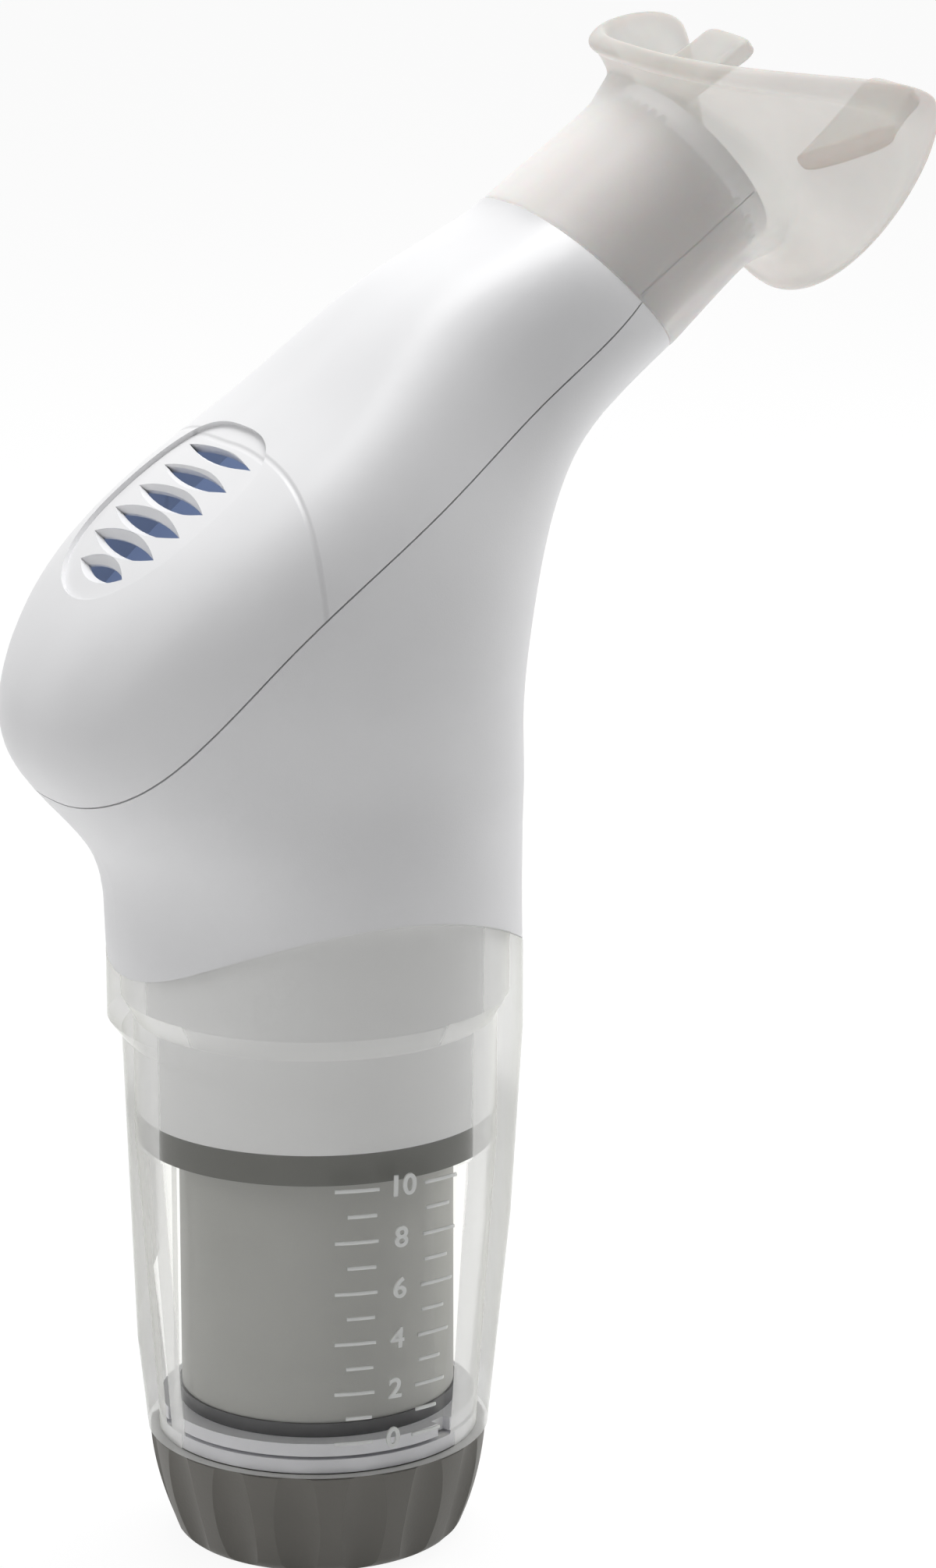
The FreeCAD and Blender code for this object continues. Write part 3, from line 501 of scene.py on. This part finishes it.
class Finish(Enum):
    """The finishes of the device, by their slot in the record; the marks have none there."""

    BODY = "body_plastic"
    COVER = "cover_plastic"
    CLEAR = "clear_plastic"
    MOUTH = "clear_silicone"
    KNOB = "knob_plastic"
    RING = "ring_plastic"
    POINTER = "pointer_plastic"
    SLEEVE = "sleeve_plastic"
    CARRIAGE = "carriage_plastic"
    SCREW = "screw_plastic"
    WASHER = "washer_plastic"
    VALVE = "valve_plastic"
    DECK = "deck_plastic"
    FLAP = "flap_silicone"
    SEAL = "seal_rubber"
    CLIP = "clip_metal"
    SPRING = "spring_steel"
    MARKS = "scale_relief"


RECIPES: dict[Finish, Recipe] = {
    Finish.BODY: MouldedPlastic((0.82, 0.82, 0.83), (0.79, 0.79, 0.80), 0.40),
    Finish.COVER: MouldedPlastic((0.82, 0.82, 0.83), (0.79, 0.79, 0.80), 0.36, crease_at=-0.0086),
    # The cover's crease is darkened with painted shade.
    Finish.CLEAR: ClearPlastic((0.998, 0.998, 0.992), (0.90, 0.91, 0.84)),
    # The third colour is painted light: a lighter collar in place of the light that the white spigot
    # behind sends through it.
    Finish.MOUTH: Silicone((0.655, 0.655, 0.625), (0.60, 0.595, 0.57), (0.90, 0.88, 0.87)),
    Finish.KNOB: MouldedPlastic((0.155, 0.148, 0.132), (0.135, 0.130, 0.115), 0.5, 2600.0, 0.00003),
    Finish.RING: MouldedPlastic((0.17, 0.17, 0.16), (0.15, 0.15, 0.14), 0.42),
    Finish.POINTER: MouldedPlastic((0.095, 0.095, 0.10), (0.08, 0.08, 0.085), 0.4),
    Finish.SLEEVE: MouldedPlastic((0.45, 0.45, 0.435), (0.41, 0.41, 0.395), 0.55),
    Finish.CARRIAGE: MouldedPlastic((0.80, 0.80, 0.84), (0.76, 0.76, 0.80), 0.38),
    Finish.SCREW: MouldedPlastic((0.60, 0.60, 0.58), (0.56, 0.56, 0.54), 0.4),
    Finish.WASHER: MouldedPlastic((0.50, 0.50, 0.48), (0.46, 0.46, 0.44), 0.3),
    Finish.VALVE: MouldedPlastic((0.74, 0.74, 0.75), (0.70, 0.70, 0.71), 0.4),
    # Painted light: the blue deck glows so that it shows through the grille's shaded slots.
    Finish.DECK: MouldedPlastic((0.30, 0.38, 0.56), (0.26, 0.33, 0.50), 0.45, glow=0.35),
    Finish.FLAP: Rubber((0.055, 0.10, 0.27), (0.08, 0.13, 0.30), 0.5),
    Finish.SEAL: Rubber((0.022, 0.022, 0.024), (0.05, 0.05, 0.052)),
    Finish.CLIP: DrawnSteel((0.60, 0.60, 0.62), 0.22),
    Finish.SPRING: DrawnSteel((0.52, 0.53, 0.55)),
    Finish.MARKS: ClearPlastic((0.90, 0.91, 0.90), (0.80, 0.82, 0.78), 0.2, 0.00003, 0.72),
}

NODE_FINISHES = {
    "tension_knob": Finish.KNOB, "thrust_washer": Finish.WASHER, "knob_clip": Finish.CLIP,
    "end_bearing": Finish.CARRIAGE, "barrel": Finish.CLEAR, "lead_screw": Finish.SCREW,
    "spring_carriage": Finish.CARRIAGE, "pointer_ring": Finish.POINTER,
    "spring_sleeve": Finish.SLEEVE, "main_spring": Finish.SPRING, "spring_seat": Finish.WASHER,
    "handle_ring": Finish.RING, "valve_seat": Finish.VALVE, "seat_gasket": Finish.SEAL,
    "poppet_seal": Finish.SEAL, "valve_poppet": Finish.VALVE, "stem_clip": Finish.CLIP,
    "exhale_deck": Finish.DECK, "exhale_flap": Finish.FLAP, "hinge_clip": Finish.DECK,
    "handle_body": Finish.BODY, "handle_cover": Finish.COVER, "mouthpiece": Finish.MOUTH,
}


@dataclass
class FinishShop:
    """Builds each finish once and hands it out."""

    built: dict[Finish, bpy.types.Material] = field(default_factory=dict)

    def get(self, finish: Finish) -> bpy.types.Material:
        """Return the material of a finish, building it the first time."""
        if finish not in self.built:
            self.built[finish] = RECIPES[finish].build(finish.value)
        return self.built[finish]

    def dress(self, piece: bpy.types.Object, finish: Finish) -> None:
        """Put a finish on every slot of a piece."""
        material = self.get(finish)
        if not piece.data.materials:
            piece.data.materials.append(material)
        for place in piece.material_slots:
            place.material = material


def add_object(name: str, data: bpy.types.ID) -> bpy.types.Object:
    """Make an object and link it to the scene.

    Args:
        name: The object's name.
        data: Its mesh, text, lamp or camera.

    Returns:
        The new object.
    """
    made = bpy.data.objects.new(name, data)
    bpy.context.scene.collection.objects.link(made)
    return made


def superellipse(angle: float, power: float) -> tuple[float, float]:
    """Return the squared cosine and sine of an angle.

    Args:
        angle: The angle in radians.
        power: 2 for an ellipse, more for a squarer form.

    Returns:
        The two factors, each from -1 to 1.
    """
    bent = [math.copysign(abs(value) ** (2 / power), value)
            for value in (math.cos(angle), math.sin(angle))]
    return bent[0], bent[1]


@dataclass
class Skin:
    """A mesh put together from rings, in millimetres in the row frame."""

    points: list[Vector] = field(default_factory=list)
    faces: list[list[int]] = field(default_factory=list)

    def join(self, rings: Sequence[Sequence[Vector]], closed: bool = False) -> None:
        """Add rings and the faces between them.

        Args:
            rings: The rings, all with the same number of points.
            closed: Whether the last ring meets the first; both ends are capped if not.
        """
        start = len(self.points)
        count = len(rings[0])
        last = start + (len(rings) - 1) * count
        for ring in rings:
            self.points.extend(ring)
        for row in range(len(rings) if closed else len(rings) - 1):
            below = start + row * count
            above = start + (row + 1) % len(rings) * count
            for index in range(count):
                following = (index + 1) % count
                self.faces.append([below + index, below + following, above + following,
                                   above + index])
        if not closed:
            self.faces.append([start + index for index in range(count)])
            self.faces.append([last + index for index in reversed(range(count))])

    def build(self, name: str, subdivide: int = 0) -> bpy.types.Object:
        """Make a smooth mesh object with outward normals.

        Args:
            name: The object's name.
            subdivide: Levels of subdivision surface.

        Returns:
            The new object.
        """
        mesh = bpy.data.meshes.new(name)
        mesh.from_pydata([tuple(point * MM) for point in self.points], [], self.faces)
        solid = bmesh.new()
        solid.from_mesh(mesh)
        bmesh.ops.recalc_face_normals(solid, faces=solid.faces)
        solid.to_mesh(mesh)
        solid.free()
        mesh.shade_smooth()
        piece = add_object(name, mesh)
        if subdivide:
            modifier = piece.modifiers.new("Smooth", "SUBSURF")
            modifier.levels = subdivide
            modifier.render_levels = subdivide
        return piece


@dataclass
class Mouthpiece:
    """The soft mouthpiece: collar, flared neck, saddle flange with a beaded rim, bite tabs.

    Attributes:
        cuff: Where the mouth axis leaves the handle.
        pitch: How steeply that axis rises.
        cuff_slant: How far the cuff leans along the axis for each millimetre of rise.
        flange_start: How far along the axis the flange begins.
        thickness: The flange's thickness.
        curve_radius: The radius that the flange is curled to.
        up: The flange's reach upwards.
        down: Its reach downwards.
        side: Its half width.
        roll: How far it is rolled round the axis.
        neck: The rise and half width where the flange's outer face begins.
        lip: The same for the face on the user's side.
        bite_side: How far to the side a bite tab is rooted.
        bite_lean: How far it leans inwards on its way out.
        bite_end: How far along the axis it ends.
        bite_drop: How far it lies below the axis.
        bite_root: How deep in the flange it is rooted.
        bite_profile: Its share of the way out, half width and half thickness, ring by ring.
        steps: The points of a ring.
        bite_steps: The points of a bite tab's ring.
    """

    cuff: Vector = field(default_factory=lambda: Vector((31.7, 0.0, 143.8)))
    pitch: float = math.radians(38.0)
    cuff_slant: float = -0.1494
    flange_start: float = 18.4
    thickness: float = 1.7
    curve_radius: float = 32.9
    up: float = 16.7
    down: float = 19.3
    side: float = 28.7
    roll: float = math.radians(-4.4)
    neck: tuple[float, float] = (13.0, 15.3)
    lip: tuple[float, float] = (8.2, 11.5)
    bite_side: float = 20.6
    bite_lean: float = 2.6
    bite_end: float = 37.4
    bite_drop: float = 1.2
    bite_root: float = 0.9
    bite_profile: tuple[Triple, ...] = (
        (0.0, 5.0, 1.4), (0.08, 4.9, 1.1), (0.3, 4.8, 1.0), (0.7, 4.8, 1.05),
        (0.86, 4.9, 1.35), (0.95, 4.6, 1.25), (1.0, 3.9, 0.7))
    steps: int = 72
    bite_steps: int = 24

    def world(self, along: float, rise: float, side: float) -> Vector:
        """Turn mouth coordinates into a point of the row frame.

        Args:
            along: Millimetres along the mouth axis from the cuff.
            rise: Millimetres square to it, upwards.
            side: Millimetres across the device.

        Returns:
            The point in millimetres.
        """
        cosine, sine = math.cos(self.pitch), math.sin(self.pitch)
        return self.cuff + Vector((along * cosine - rise * sine, side, along * sine + rise * cosine))

    def rolled(self, along: float, rise: float, side: float) -> Vector:
        """Turn mouth coordinates into a point, rolled round the mouth axis as the flange is.

        Args:
            along: Millimetres along the mouth axis from the cuff.
            rise: Millimetres square to it, upwards before the roll.
            side: Millimetres across it before the roll.

        Returns:
            The point in millimetres.
        """
        cosine, sine = math.cos(self.roll), math.sin(self.roll)
        return self.world(along, rise * cosine - side * sine, rise * sine + side * cosine)

    def saddle(self, side: float, depth: float) -> float:
        """Return how far along the axis the curled flange is.

        Args:
            side: Millimetres to the side of the axis.
            depth: Millimetres from the user's side towards the handle.

        Returns:
            Millimetres along the mouth axis.
        """
        radius = self.curve_radius + depth
        centre = self.flange_start + self.thickness + self.curve_radius
        return centre - math.sqrt(radius ** 2 - side ** 2)

    def oval(self, along: float, front: float, back: float, side: float, power: float = 2.2,
             slant: float = 0.0) -> list[Vector]:
        """Make a ring of the collar or the bore.

        Args:
            along: Where the ring crosses the mouth axis.
            front: Its reach upwards.
            back: Its reach downwards.
            side: Its half width.
            power: How square it is.
            slant: How far it leans along the axis for each millimetre of rise.

        Returns:
            The ring's points.
        """
        ring = []
        for index in range(self.steps):
            cosine, sine = superellipse(2 * math.pi * index / self.steps, power)
            rise = cosine * (front if cosine > 0 else back)
            ring.append(self.world(along + slant * rise, rise, sine * side))
        return ring

    def flange_ring(self, root: tuple[float, float], share: float, depth: float,
                    inset: float = 0.0) -> list[Vector]:
        """Make a ring of the flange.

        Args:
            root: The rise and half width where this face of the flange begins.
            share: 0 at the root and 1 at the rim.
            depth: Millimetres from the user's side towards the handle.
            inset: Millimetres inwards from the rim.

        Returns:
            The ring's points.
        """
        ring = []
        for index in range(self.steps):
            angle = 2 * math.pi * index / self.steps
            round_rise, round_side = superellipse(angle, 2.0)
            rim_rise, rim_side = superellipse(angle, 1.72)
            reach = (self.up if rim_rise > 0 else self.down) - inset
            rise = round_rise * root[0] * (1 - share) + rim_rise * reach * share
            side = round_side * root[1] * (1 - share) + rim_side * (self.side - inset) * share
            ring.append(self.rolled(self.saddle(side, depth), rise, side))
        return ring

    def shell_rings(self) -> list[list[Vector]]:
        """List the rings of the closed skin, out along the collar and back through the bore."""
        slant = self.cuff_slant
        return [
            self.oval(0.05, 11.3, 12.2, 13.6, 2.3, slant),
            self.oval(0.1, 12.0, 12.85, 14.2, 2.3, slant),
            self.oval(1.0, 12.05, 12.8, 14.15, 2.3, slant),
            self.oval(8.0, 12.0, 12.3, 13.9, 2.25, slant * 0.5),
            self.oval(14.0, 11.9, 12.0, 13.6),
            self.oval(15.6, 12.05, 12.1, 13.9),
            self.oval(16.7, 12.4, 12.5, 14.5),
            self.flange_ring(self.neck, 0.0, self.thickness + 0.9),
            self.flange_ring(self.neck, 0.06, self.thickness + 0.15),
            self.flange_ring(self.neck, 0.5, self.thickness),
            self.flange_ring(self.neck, 1.0, self.thickness, 1.9),
            self.flange_ring(self.neck, 1.0, self.thickness + 0.4, 1.0),
            self.flange_ring(self.neck, 1.0, self.thickness + 0.15, 0.25),
            self.flange_ring(self.lip, 1.0, self.thickness / 2),
            self.flange_ring(self.lip, 1.0, -0.2, 0.3),
            self.flange_ring(self.lip, 1.0, -0.3, 1.1),
            self.flange_ring(self.lip, 1.0, 0.0, 2.0),
            self.flange_ring(self.lip, 0.5, 0.0),
            self.flange_ring(self.lip, 0.2, 0.0),
            self.flange_ring(self.lip, 0.04, 0.05),
            self.oval(20.2, 7.5, 7.5, 10.7, 2.0),
            self.oval(19.4, 7.25, 7.25, 10.45, 2.0),
            self.oval(19.12, 7.6, 7.6, 10.7, 2.0),
            self.oval(19.1, 10.6, 10.6, 12.3, 2.0),
            self.oval(18.6, 10.95, 10.95, 12.65, 2.0),
            self.oval(9.0, 10.96, 10.96, 12.66, 2.0),
            self.oval(0.6, 10.96, 10.96, 12.66, 2.0, slant),
        ]

    def bite_rings(self, hand: int) -> list[list[Vector]]:
        """List the rings of one bite tab, from inside the flange to its rounded end.

        Args:
            hand: 1 or -1 for the side of the mouth.

        Returns:
            The rings, each a rounded rectangle.
        """
        rings = []
        for share, half, thick in self.bite_profile:
            ring = []
            for index in range(self.bite_steps):
                cosine, sine = superellipse(2 * math.pi * index / self.bite_steps, 5.0)
                side = self.bite_side - self.bite_lean * share + half * sine
                root = self.saddle(side, self.bite_root)
                along = root + (self.bite_end - root) * share
                ring.append(self.rolled(along, thick * cosine - self.bite_drop, hand * side))
            rings.append(ring)
        return rings

    def build(self) -> list[bpy.types.Object]:
        """Build the mouthpiece as one object.

        Returns:
            The new object, in a list.
        """
        skin = Skin()
        skin.join(self.shell_rings(), closed=True)
        skin.join(self.bite_rings(1))
        skin.join(self.bite_rings(-1))
        return [skin.build("soft_mouthpiece", 2)]


@dataclass
class LoadScale:
    """The raised graduations and numbers moulded on the clear barrel.

    Attributes:
        zero_height: The height of the line for 0, in millimetres.
        step: The height from one line to the next.
        highest: The highest number.
        proud: How far a line stands out.
        sunk: How far it reaches into the barrel.
        line_height: A line's thickness.
        segments: The straight parts of a line.
        long_lines: The angles in degrees where the left and right lines begin and end at even
            numbers, from -Y towards +X.
        short_lines: The same at odd numbers.
        number_angle: The angle of the numbers' middle.
        number_size: The size of the numbers' type.
        number_depth: Half the depth of the numbers.
        number_round: The rounding of their edges.
        number_bold: How far their outline is pushed out.
        stations: Heights and outer radii of the barrel.
    """

    zero_height: float = 17.1
    step: float = 3.04
    highest: int = 10
    proud: float = 0.14
    sunk: float = 0.1
    line_height: float = 0.42
    segments: int = 6
    long_lines: tuple[tuple[float, float], ...] = ((-17.2, -4.6), (9.4, 20.6))
    short_lines: tuple[tuple[float, float], ...] = ((-13.6, -5.2), (10.2, 18.0))
    number_angle: float = 2.4
    number_size: float = 3.35
    number_depth: float = 0.1
    number_round: float = 0.05
    number_bold: float = 0.03
    stations: tuple[tuple[float, float], ...] = ((12.9, 19.55), (38.0, 22.15), (60.0, 23.5))

    def radius(self, height: float) -> float:
        """Return the barrel's outer radius at a height, in millimetres."""
        for (low, small), (high, large) in zip(self.stations, self.stations[1:]):
            if height <= high:
                return small + (large - small) * (height - low) / (high - low)
        return self.stations[-1][1]

    def line(self, start: float, end: float, height: float) -> list[list[Vector]]:
        """List the rings of one raised line that follows the barrel.

        Args:
            start: The angle where it begins, in degrees from -Y towards +X.
            end: The angle where it ends.
            height: Its middle, in millimetres.

        Returns:
            The rings, from one end to the other.
        """
        half = self.line_height / 2
        profile = ((-self.sunk, -half), (self.proud * 0.5, -half), (self.proud, -half * 0.5),
                   (self.proud, half * 0.5), (self.proud * 0.5, half), (-self.sunk, half))
        rings = []
        for index in range(self.segments + 1):
            angle = math.radians(start + (end - start) * index / self.segments)
            ring = []
            for lift, rise in profile:
                reach = self.radius(height + rise) + lift
                ring.append(Vector((reach * math.sin(angle), -reach * math.cos(angle),
                                    height + rise)))
            rings.append(ring)
        return rings

    def number(self, text: str, height: float) -> bpy.types.Object:
        """Make one raised number that lies along the barrel's taper.

        Args:
            text: The number.
            height: Its middle, in millimetres.

        Returns:
            A mesh object in place.
        """
        curve = bpy.data.curves.new(f"number_{text}", "FONT")
        curve.body = text
        curve.size = self.number_size * MM
        curve.align_x = "CENTER"
        curve.align_y = "CENTER"
        curve.extrude = self.number_depth * MM
        curve.bevel_depth = self.number_round * MM
        curve.offset = self.number_bold * MM
        written = add_object(curve.name, curve)
        bpy.context.view_layer.update()
        drawn = written.evaluated_get(bpy.context.evaluated_depsgraph_get())
        mesh = bpy.data.meshes.new_from_object(drawn)
        bpy.data.objects.remove(written)
        angle = math.radians(self.number_angle)
        across = Vector((math.cos(angle), math.sin(angle), 0.0))
        outward = Vector((math.sin(angle), -math.cos(angle), 0.0))
        slope = self.radius(height + 0.5) - self.radius(height - 0.5)
        upward = (outward * slope + Vector((0.0, 0.0, 1.0))).normalized()
        frame = Matrix.Identity(4)
        frame.col[0][:3] = across
        frame.col[1][:3] = upward
        frame.col[2][:3] = across.cross(upward)
        frame.col[3][:3] = outward * self.radius(height) * MM + Vector((0.0, 0.0, height * MM))
        mesh.transform(frame)
        return add_object(f"scale_number_{text}", mesh)

    def build(self) -> list[bpy.types.Object]:
        """Build each number as one piece and the lines as another.

        Returns:
            The new objects.
        """
        skin = Skin()
        pieces = []
        for level in range(self.highest + 1):
            height = self.zero_height + level * self.step
            for start, end in self.short_lines if level % 2 else self.long_lines:
                skin.join(self.line(start, end, height))
            if level % 2 == 0:
                pieces.append(self.number(str(level), height))
        pieces.append(skin.build("scale_lines"))
        return pieces


@dataclass
class KnobPip:
    """The small raised dot on the knob's side that shows where it stands.

    Attributes:
        angle: Its angle in degrees, from -Y towards +X.
        height: Its height in millimetres.
        reach: How far it is from the axis.
        radius: Its radius.
        proud: How far it stands out.
        lean: How far its face leans down, against 1 outwards.
        profile: The share of its radius and of its height, ring by ring.
        steps: The points of a ring.
    """

    angle: float = 5.0
    height: float = 8.4
    reach: float = 18.25
    radius: float = 0.75
    proud: float = 0.35
    lean: float = 0.22
    profile: tuple[tuple[float, float], ...] = (
        (1.0, -0.9), (1.0, 0.0), (0.92, 0.55), (0.7, 0.85), (0.38, 1.0))
    steps: int = 20

    def build(self) -> list[bpy.types.Object]:
        """Build the dot as a low dome.

        Returns:
            The new object, in a list.
        """
        cosine, sine = math.cos(math.radians(self.angle)), math.sin(math.radians(self.angle))
        middle = Vector((sine * self.reach, -cosine * self.reach, self.height))
        outward = Vector((sine, -cosine, -self.lean)).normalized()
        sideways = Vector((cosine, sine, 0.0))
        upward = outward.cross(sideways) * -1
        rings = []
        for size, lift in self.profile:
            ring = []
            for index in range(self.steps):
                turn = 2 * math.pi * index / self.steps
                ring.append(middle + outward * (lift * self.proud)
                            + sideways * (self.radius * size * math.cos(turn))
                            + upward * (self.radius * size * math.sin(turn)))
            rings.append(ring)
        skin = Skin()
        skin.join(rings)
        return [skin.build("knob_pip")]


@dataclass(frozen=True)
class Lamp:
    """A soft square lamp.

    Attributes:
        name: The lamp's name.
        place: Where it stands, in metres.
        size: Its side in metres.
        power: Its power in watts.
    """

    name: str
    place: Triple
    size: float
    power: float

    def build(self, target: Vector) -> None:
        """Add the lamp, pointed at a target in metres."""
        data = bpy.data.lights.new(self.name, "AREA")
        data.shape = "SQUARE"
        data.size = self.size
        data.energy = self.power
        lamp = add_object(self.name, data)
        lamp.location = self.place
        lamp.rotation_euler = (target - Vector(self.place)).to_track_quat("-Z", "Y").to_euler()


@dataclass
class Studio:
    """The pale floor, the soft lights and the camera.

    Attributes:
        lens: The camera's focal length in millimetres.
        sensor: The side of its square sensor in millimetres.
        eye: Where it stands, in metres.
        azimuth: The side that it looks from, in degrees from -Y towards +X.
        pitch: How steeply it looks down, in degrees.
        floor_half: Half the floor's side in metres.
        floor_drop: How far the floor lies below the device, in metres.
        floor_white: How much of the floor shines white for rays that see it directly.
        floor_light: How strongly it does so.
        soft_light: The strength of the light from all round.
        lit_point: What the lamps point at, in metres.
        lamps: The lamps.
    """

    lens: float = 118.2
    sensor: float = 36.0
    eye: Triple = (-0.21164, -0.51782, 0.22531)
    azimuth: float = -24.0
    pitch: float = 13.8
    floor_half: float = 3.0
    floor_drop: float = 0.0002
    floor_white: float = 0.86
    floor_light: float = 1.07
    soft_light: float = 0.18
    lit_point: Triple = (0.01, 0.0, 0.09)
    lamps: tuple[Lamp, ...] = (
        Lamp("top_softbox", (0.1, 0.1, 0.8), 0.55, 5.9),
        Lamp("right_softbox", (0.75, 0.12, 0.3), 0.5, 1.95),
        Lamp("left_softbox", (-0.7, 0.0, 0.4), 0.5, 1.0),
    )

    def camera(self) -> None:
        """Put the camera where the photograph was taken."""
        data = bpy.data.cameras.new("photo_camera")
        data.lens = self.lens
        data.sensor_width = self.sensor
        data.sensor_height = self.sensor
        data.clip_start = 0.01
        turn, dip = math.radians(self.azimuth), math.radians(self.pitch)
        gaze = Vector((-math.sin(turn) * math.cos(dip), math.cos(turn) * math.cos(dip),
                       -math.sin(dip)))
        camera = add_object("photo_camera", data)
        camera.location = self.eye
        camera.rotation_euler = gaze.to_track_quat("-Z", "Y").to_euler()
        bpy.context.scene.camera = camera

    @staticmethod
    def seen(graph: Graph) -> Signal:
        """Return 1 for rays that see the background directly, by reflection or through glass."""
        camera, glossy, through = (
            graph.node("ShaderNodeLightPath", {}, {}, f"Is {kind} Ray")
            for kind in ("Camera", "Glossy", "Transmission"))
        return (camera + glossy + through).band(0.0, 1.0, False)

    def floor(self) -> None:
        """Lay a pale floor that shows white and keeps a faint shadow."""
        points = [(x * self.floor_half, y * self.floor_half, -self.floor_drop)
                  for x, y in ((-1, -1), (1, -1), (1, 1), (-1, 1))]
        mesh = bpy.data.meshes.new("studio_floor")
        mesh.from_pydata(points, [], [(0, 1, 2, 3)])
        floor = add_object("studio_floor", mesh)
        graph = Graph(bpy.data.materials.new("studio_floor"))
        grain = graph.blend(graph.noise(40.0), (0.86, 0.86, 0.86), (0.84, 0.84, 0.84))
        paper = graph.principled({"Base Color": grain, "Roughness": 0.7})
        white = graph.node("ShaderNodeEmission", {}, {"Color": WHITE, "Strength": self.floor_light})
        shown = self.seen(graph) * self.floor_white
        mesh.materials.append(graph.finish(graph.mix(shown, paper, white)))

    def world(self) -> None:
        """Light the object from all round and show plain white behind it."""
        world = bpy.data.worlds.new("studio")
        bpy.context.scene.world = world
        graph = Graph(world, "ShaderNodeOutputWorld")
        soft, white = (
            graph.node("ShaderNodeBackground", {}, {"Color": WHITE, "Strength": strength})
            for strength in (self.soft_light, 1.0))
        graph.finish(graph.mix(self.seen(graph), soft, white))

    def build(self) -> None:
        """Build the whole studio."""
        self.camera()
        self.floor()
        self.world()
        for lamp in self.lamps:
            lamp.build(Vector(self.lit_point))
        bpy.context.scene.view_settings.view_transform = "Standard"


def smooth_node(piece: bpy.types.Object) -> None:
    """Shade a CAD node smoothly across its shallow edges.

    Args:
        piece: The node's object.
    """
    if piece.data.has_custom_normals:
        return
    piece.data.shade_smooth()
    piece.data.set_sharp_from_angle(angle=SMOOTH_ANGLE)


def press_spring(spring: bpy.types.Object) -> None:
    """Give the main spring's node a mesh of its own; nothing shortens it here.

    Args:
        spring: The spring's node, which rides on the carriage.
    """
    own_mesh(spring)


def main() -> None:
    """Build the looks, piece by piece."""
    logging.basicConfig(level=logging.INFO, format="%(name)s %(message)s")
    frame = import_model()
    Studio().build()
    shop = FinishShop()
    for name, finish in NODE_FINISHES.items():
        node = frame["nodes"][name]
        smooth_node(node)
        shop.dress(node, finish)
        LOG.info("dressed %s", name)
    press_spring(frame["nodes"]["main_spring"])
    makers: list[tuple[Callable[[], list[bpy.types.Object]], str, Finish, str]] = [
        (Mouthpiece().build, "mouthpiece", Finish.MOUTH, "clear_silicone"),
        (LoadScale().build, "housing", Finish.MARKS, "clear_plastic"),
        (KnobPip().build, "knob", Finish.KNOB, "knob_plastic"),
    ]
    for maker, body, finish, slot in makers:
        for piece in maker():
            shop.dress(piece, finish)
            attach(piece, body)
            if piece.name == "soft_mouthpiece":
                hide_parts("mouthpiece")
            LOG.info("made %s", piece.name)


if __name__ == "__main__":
    main()
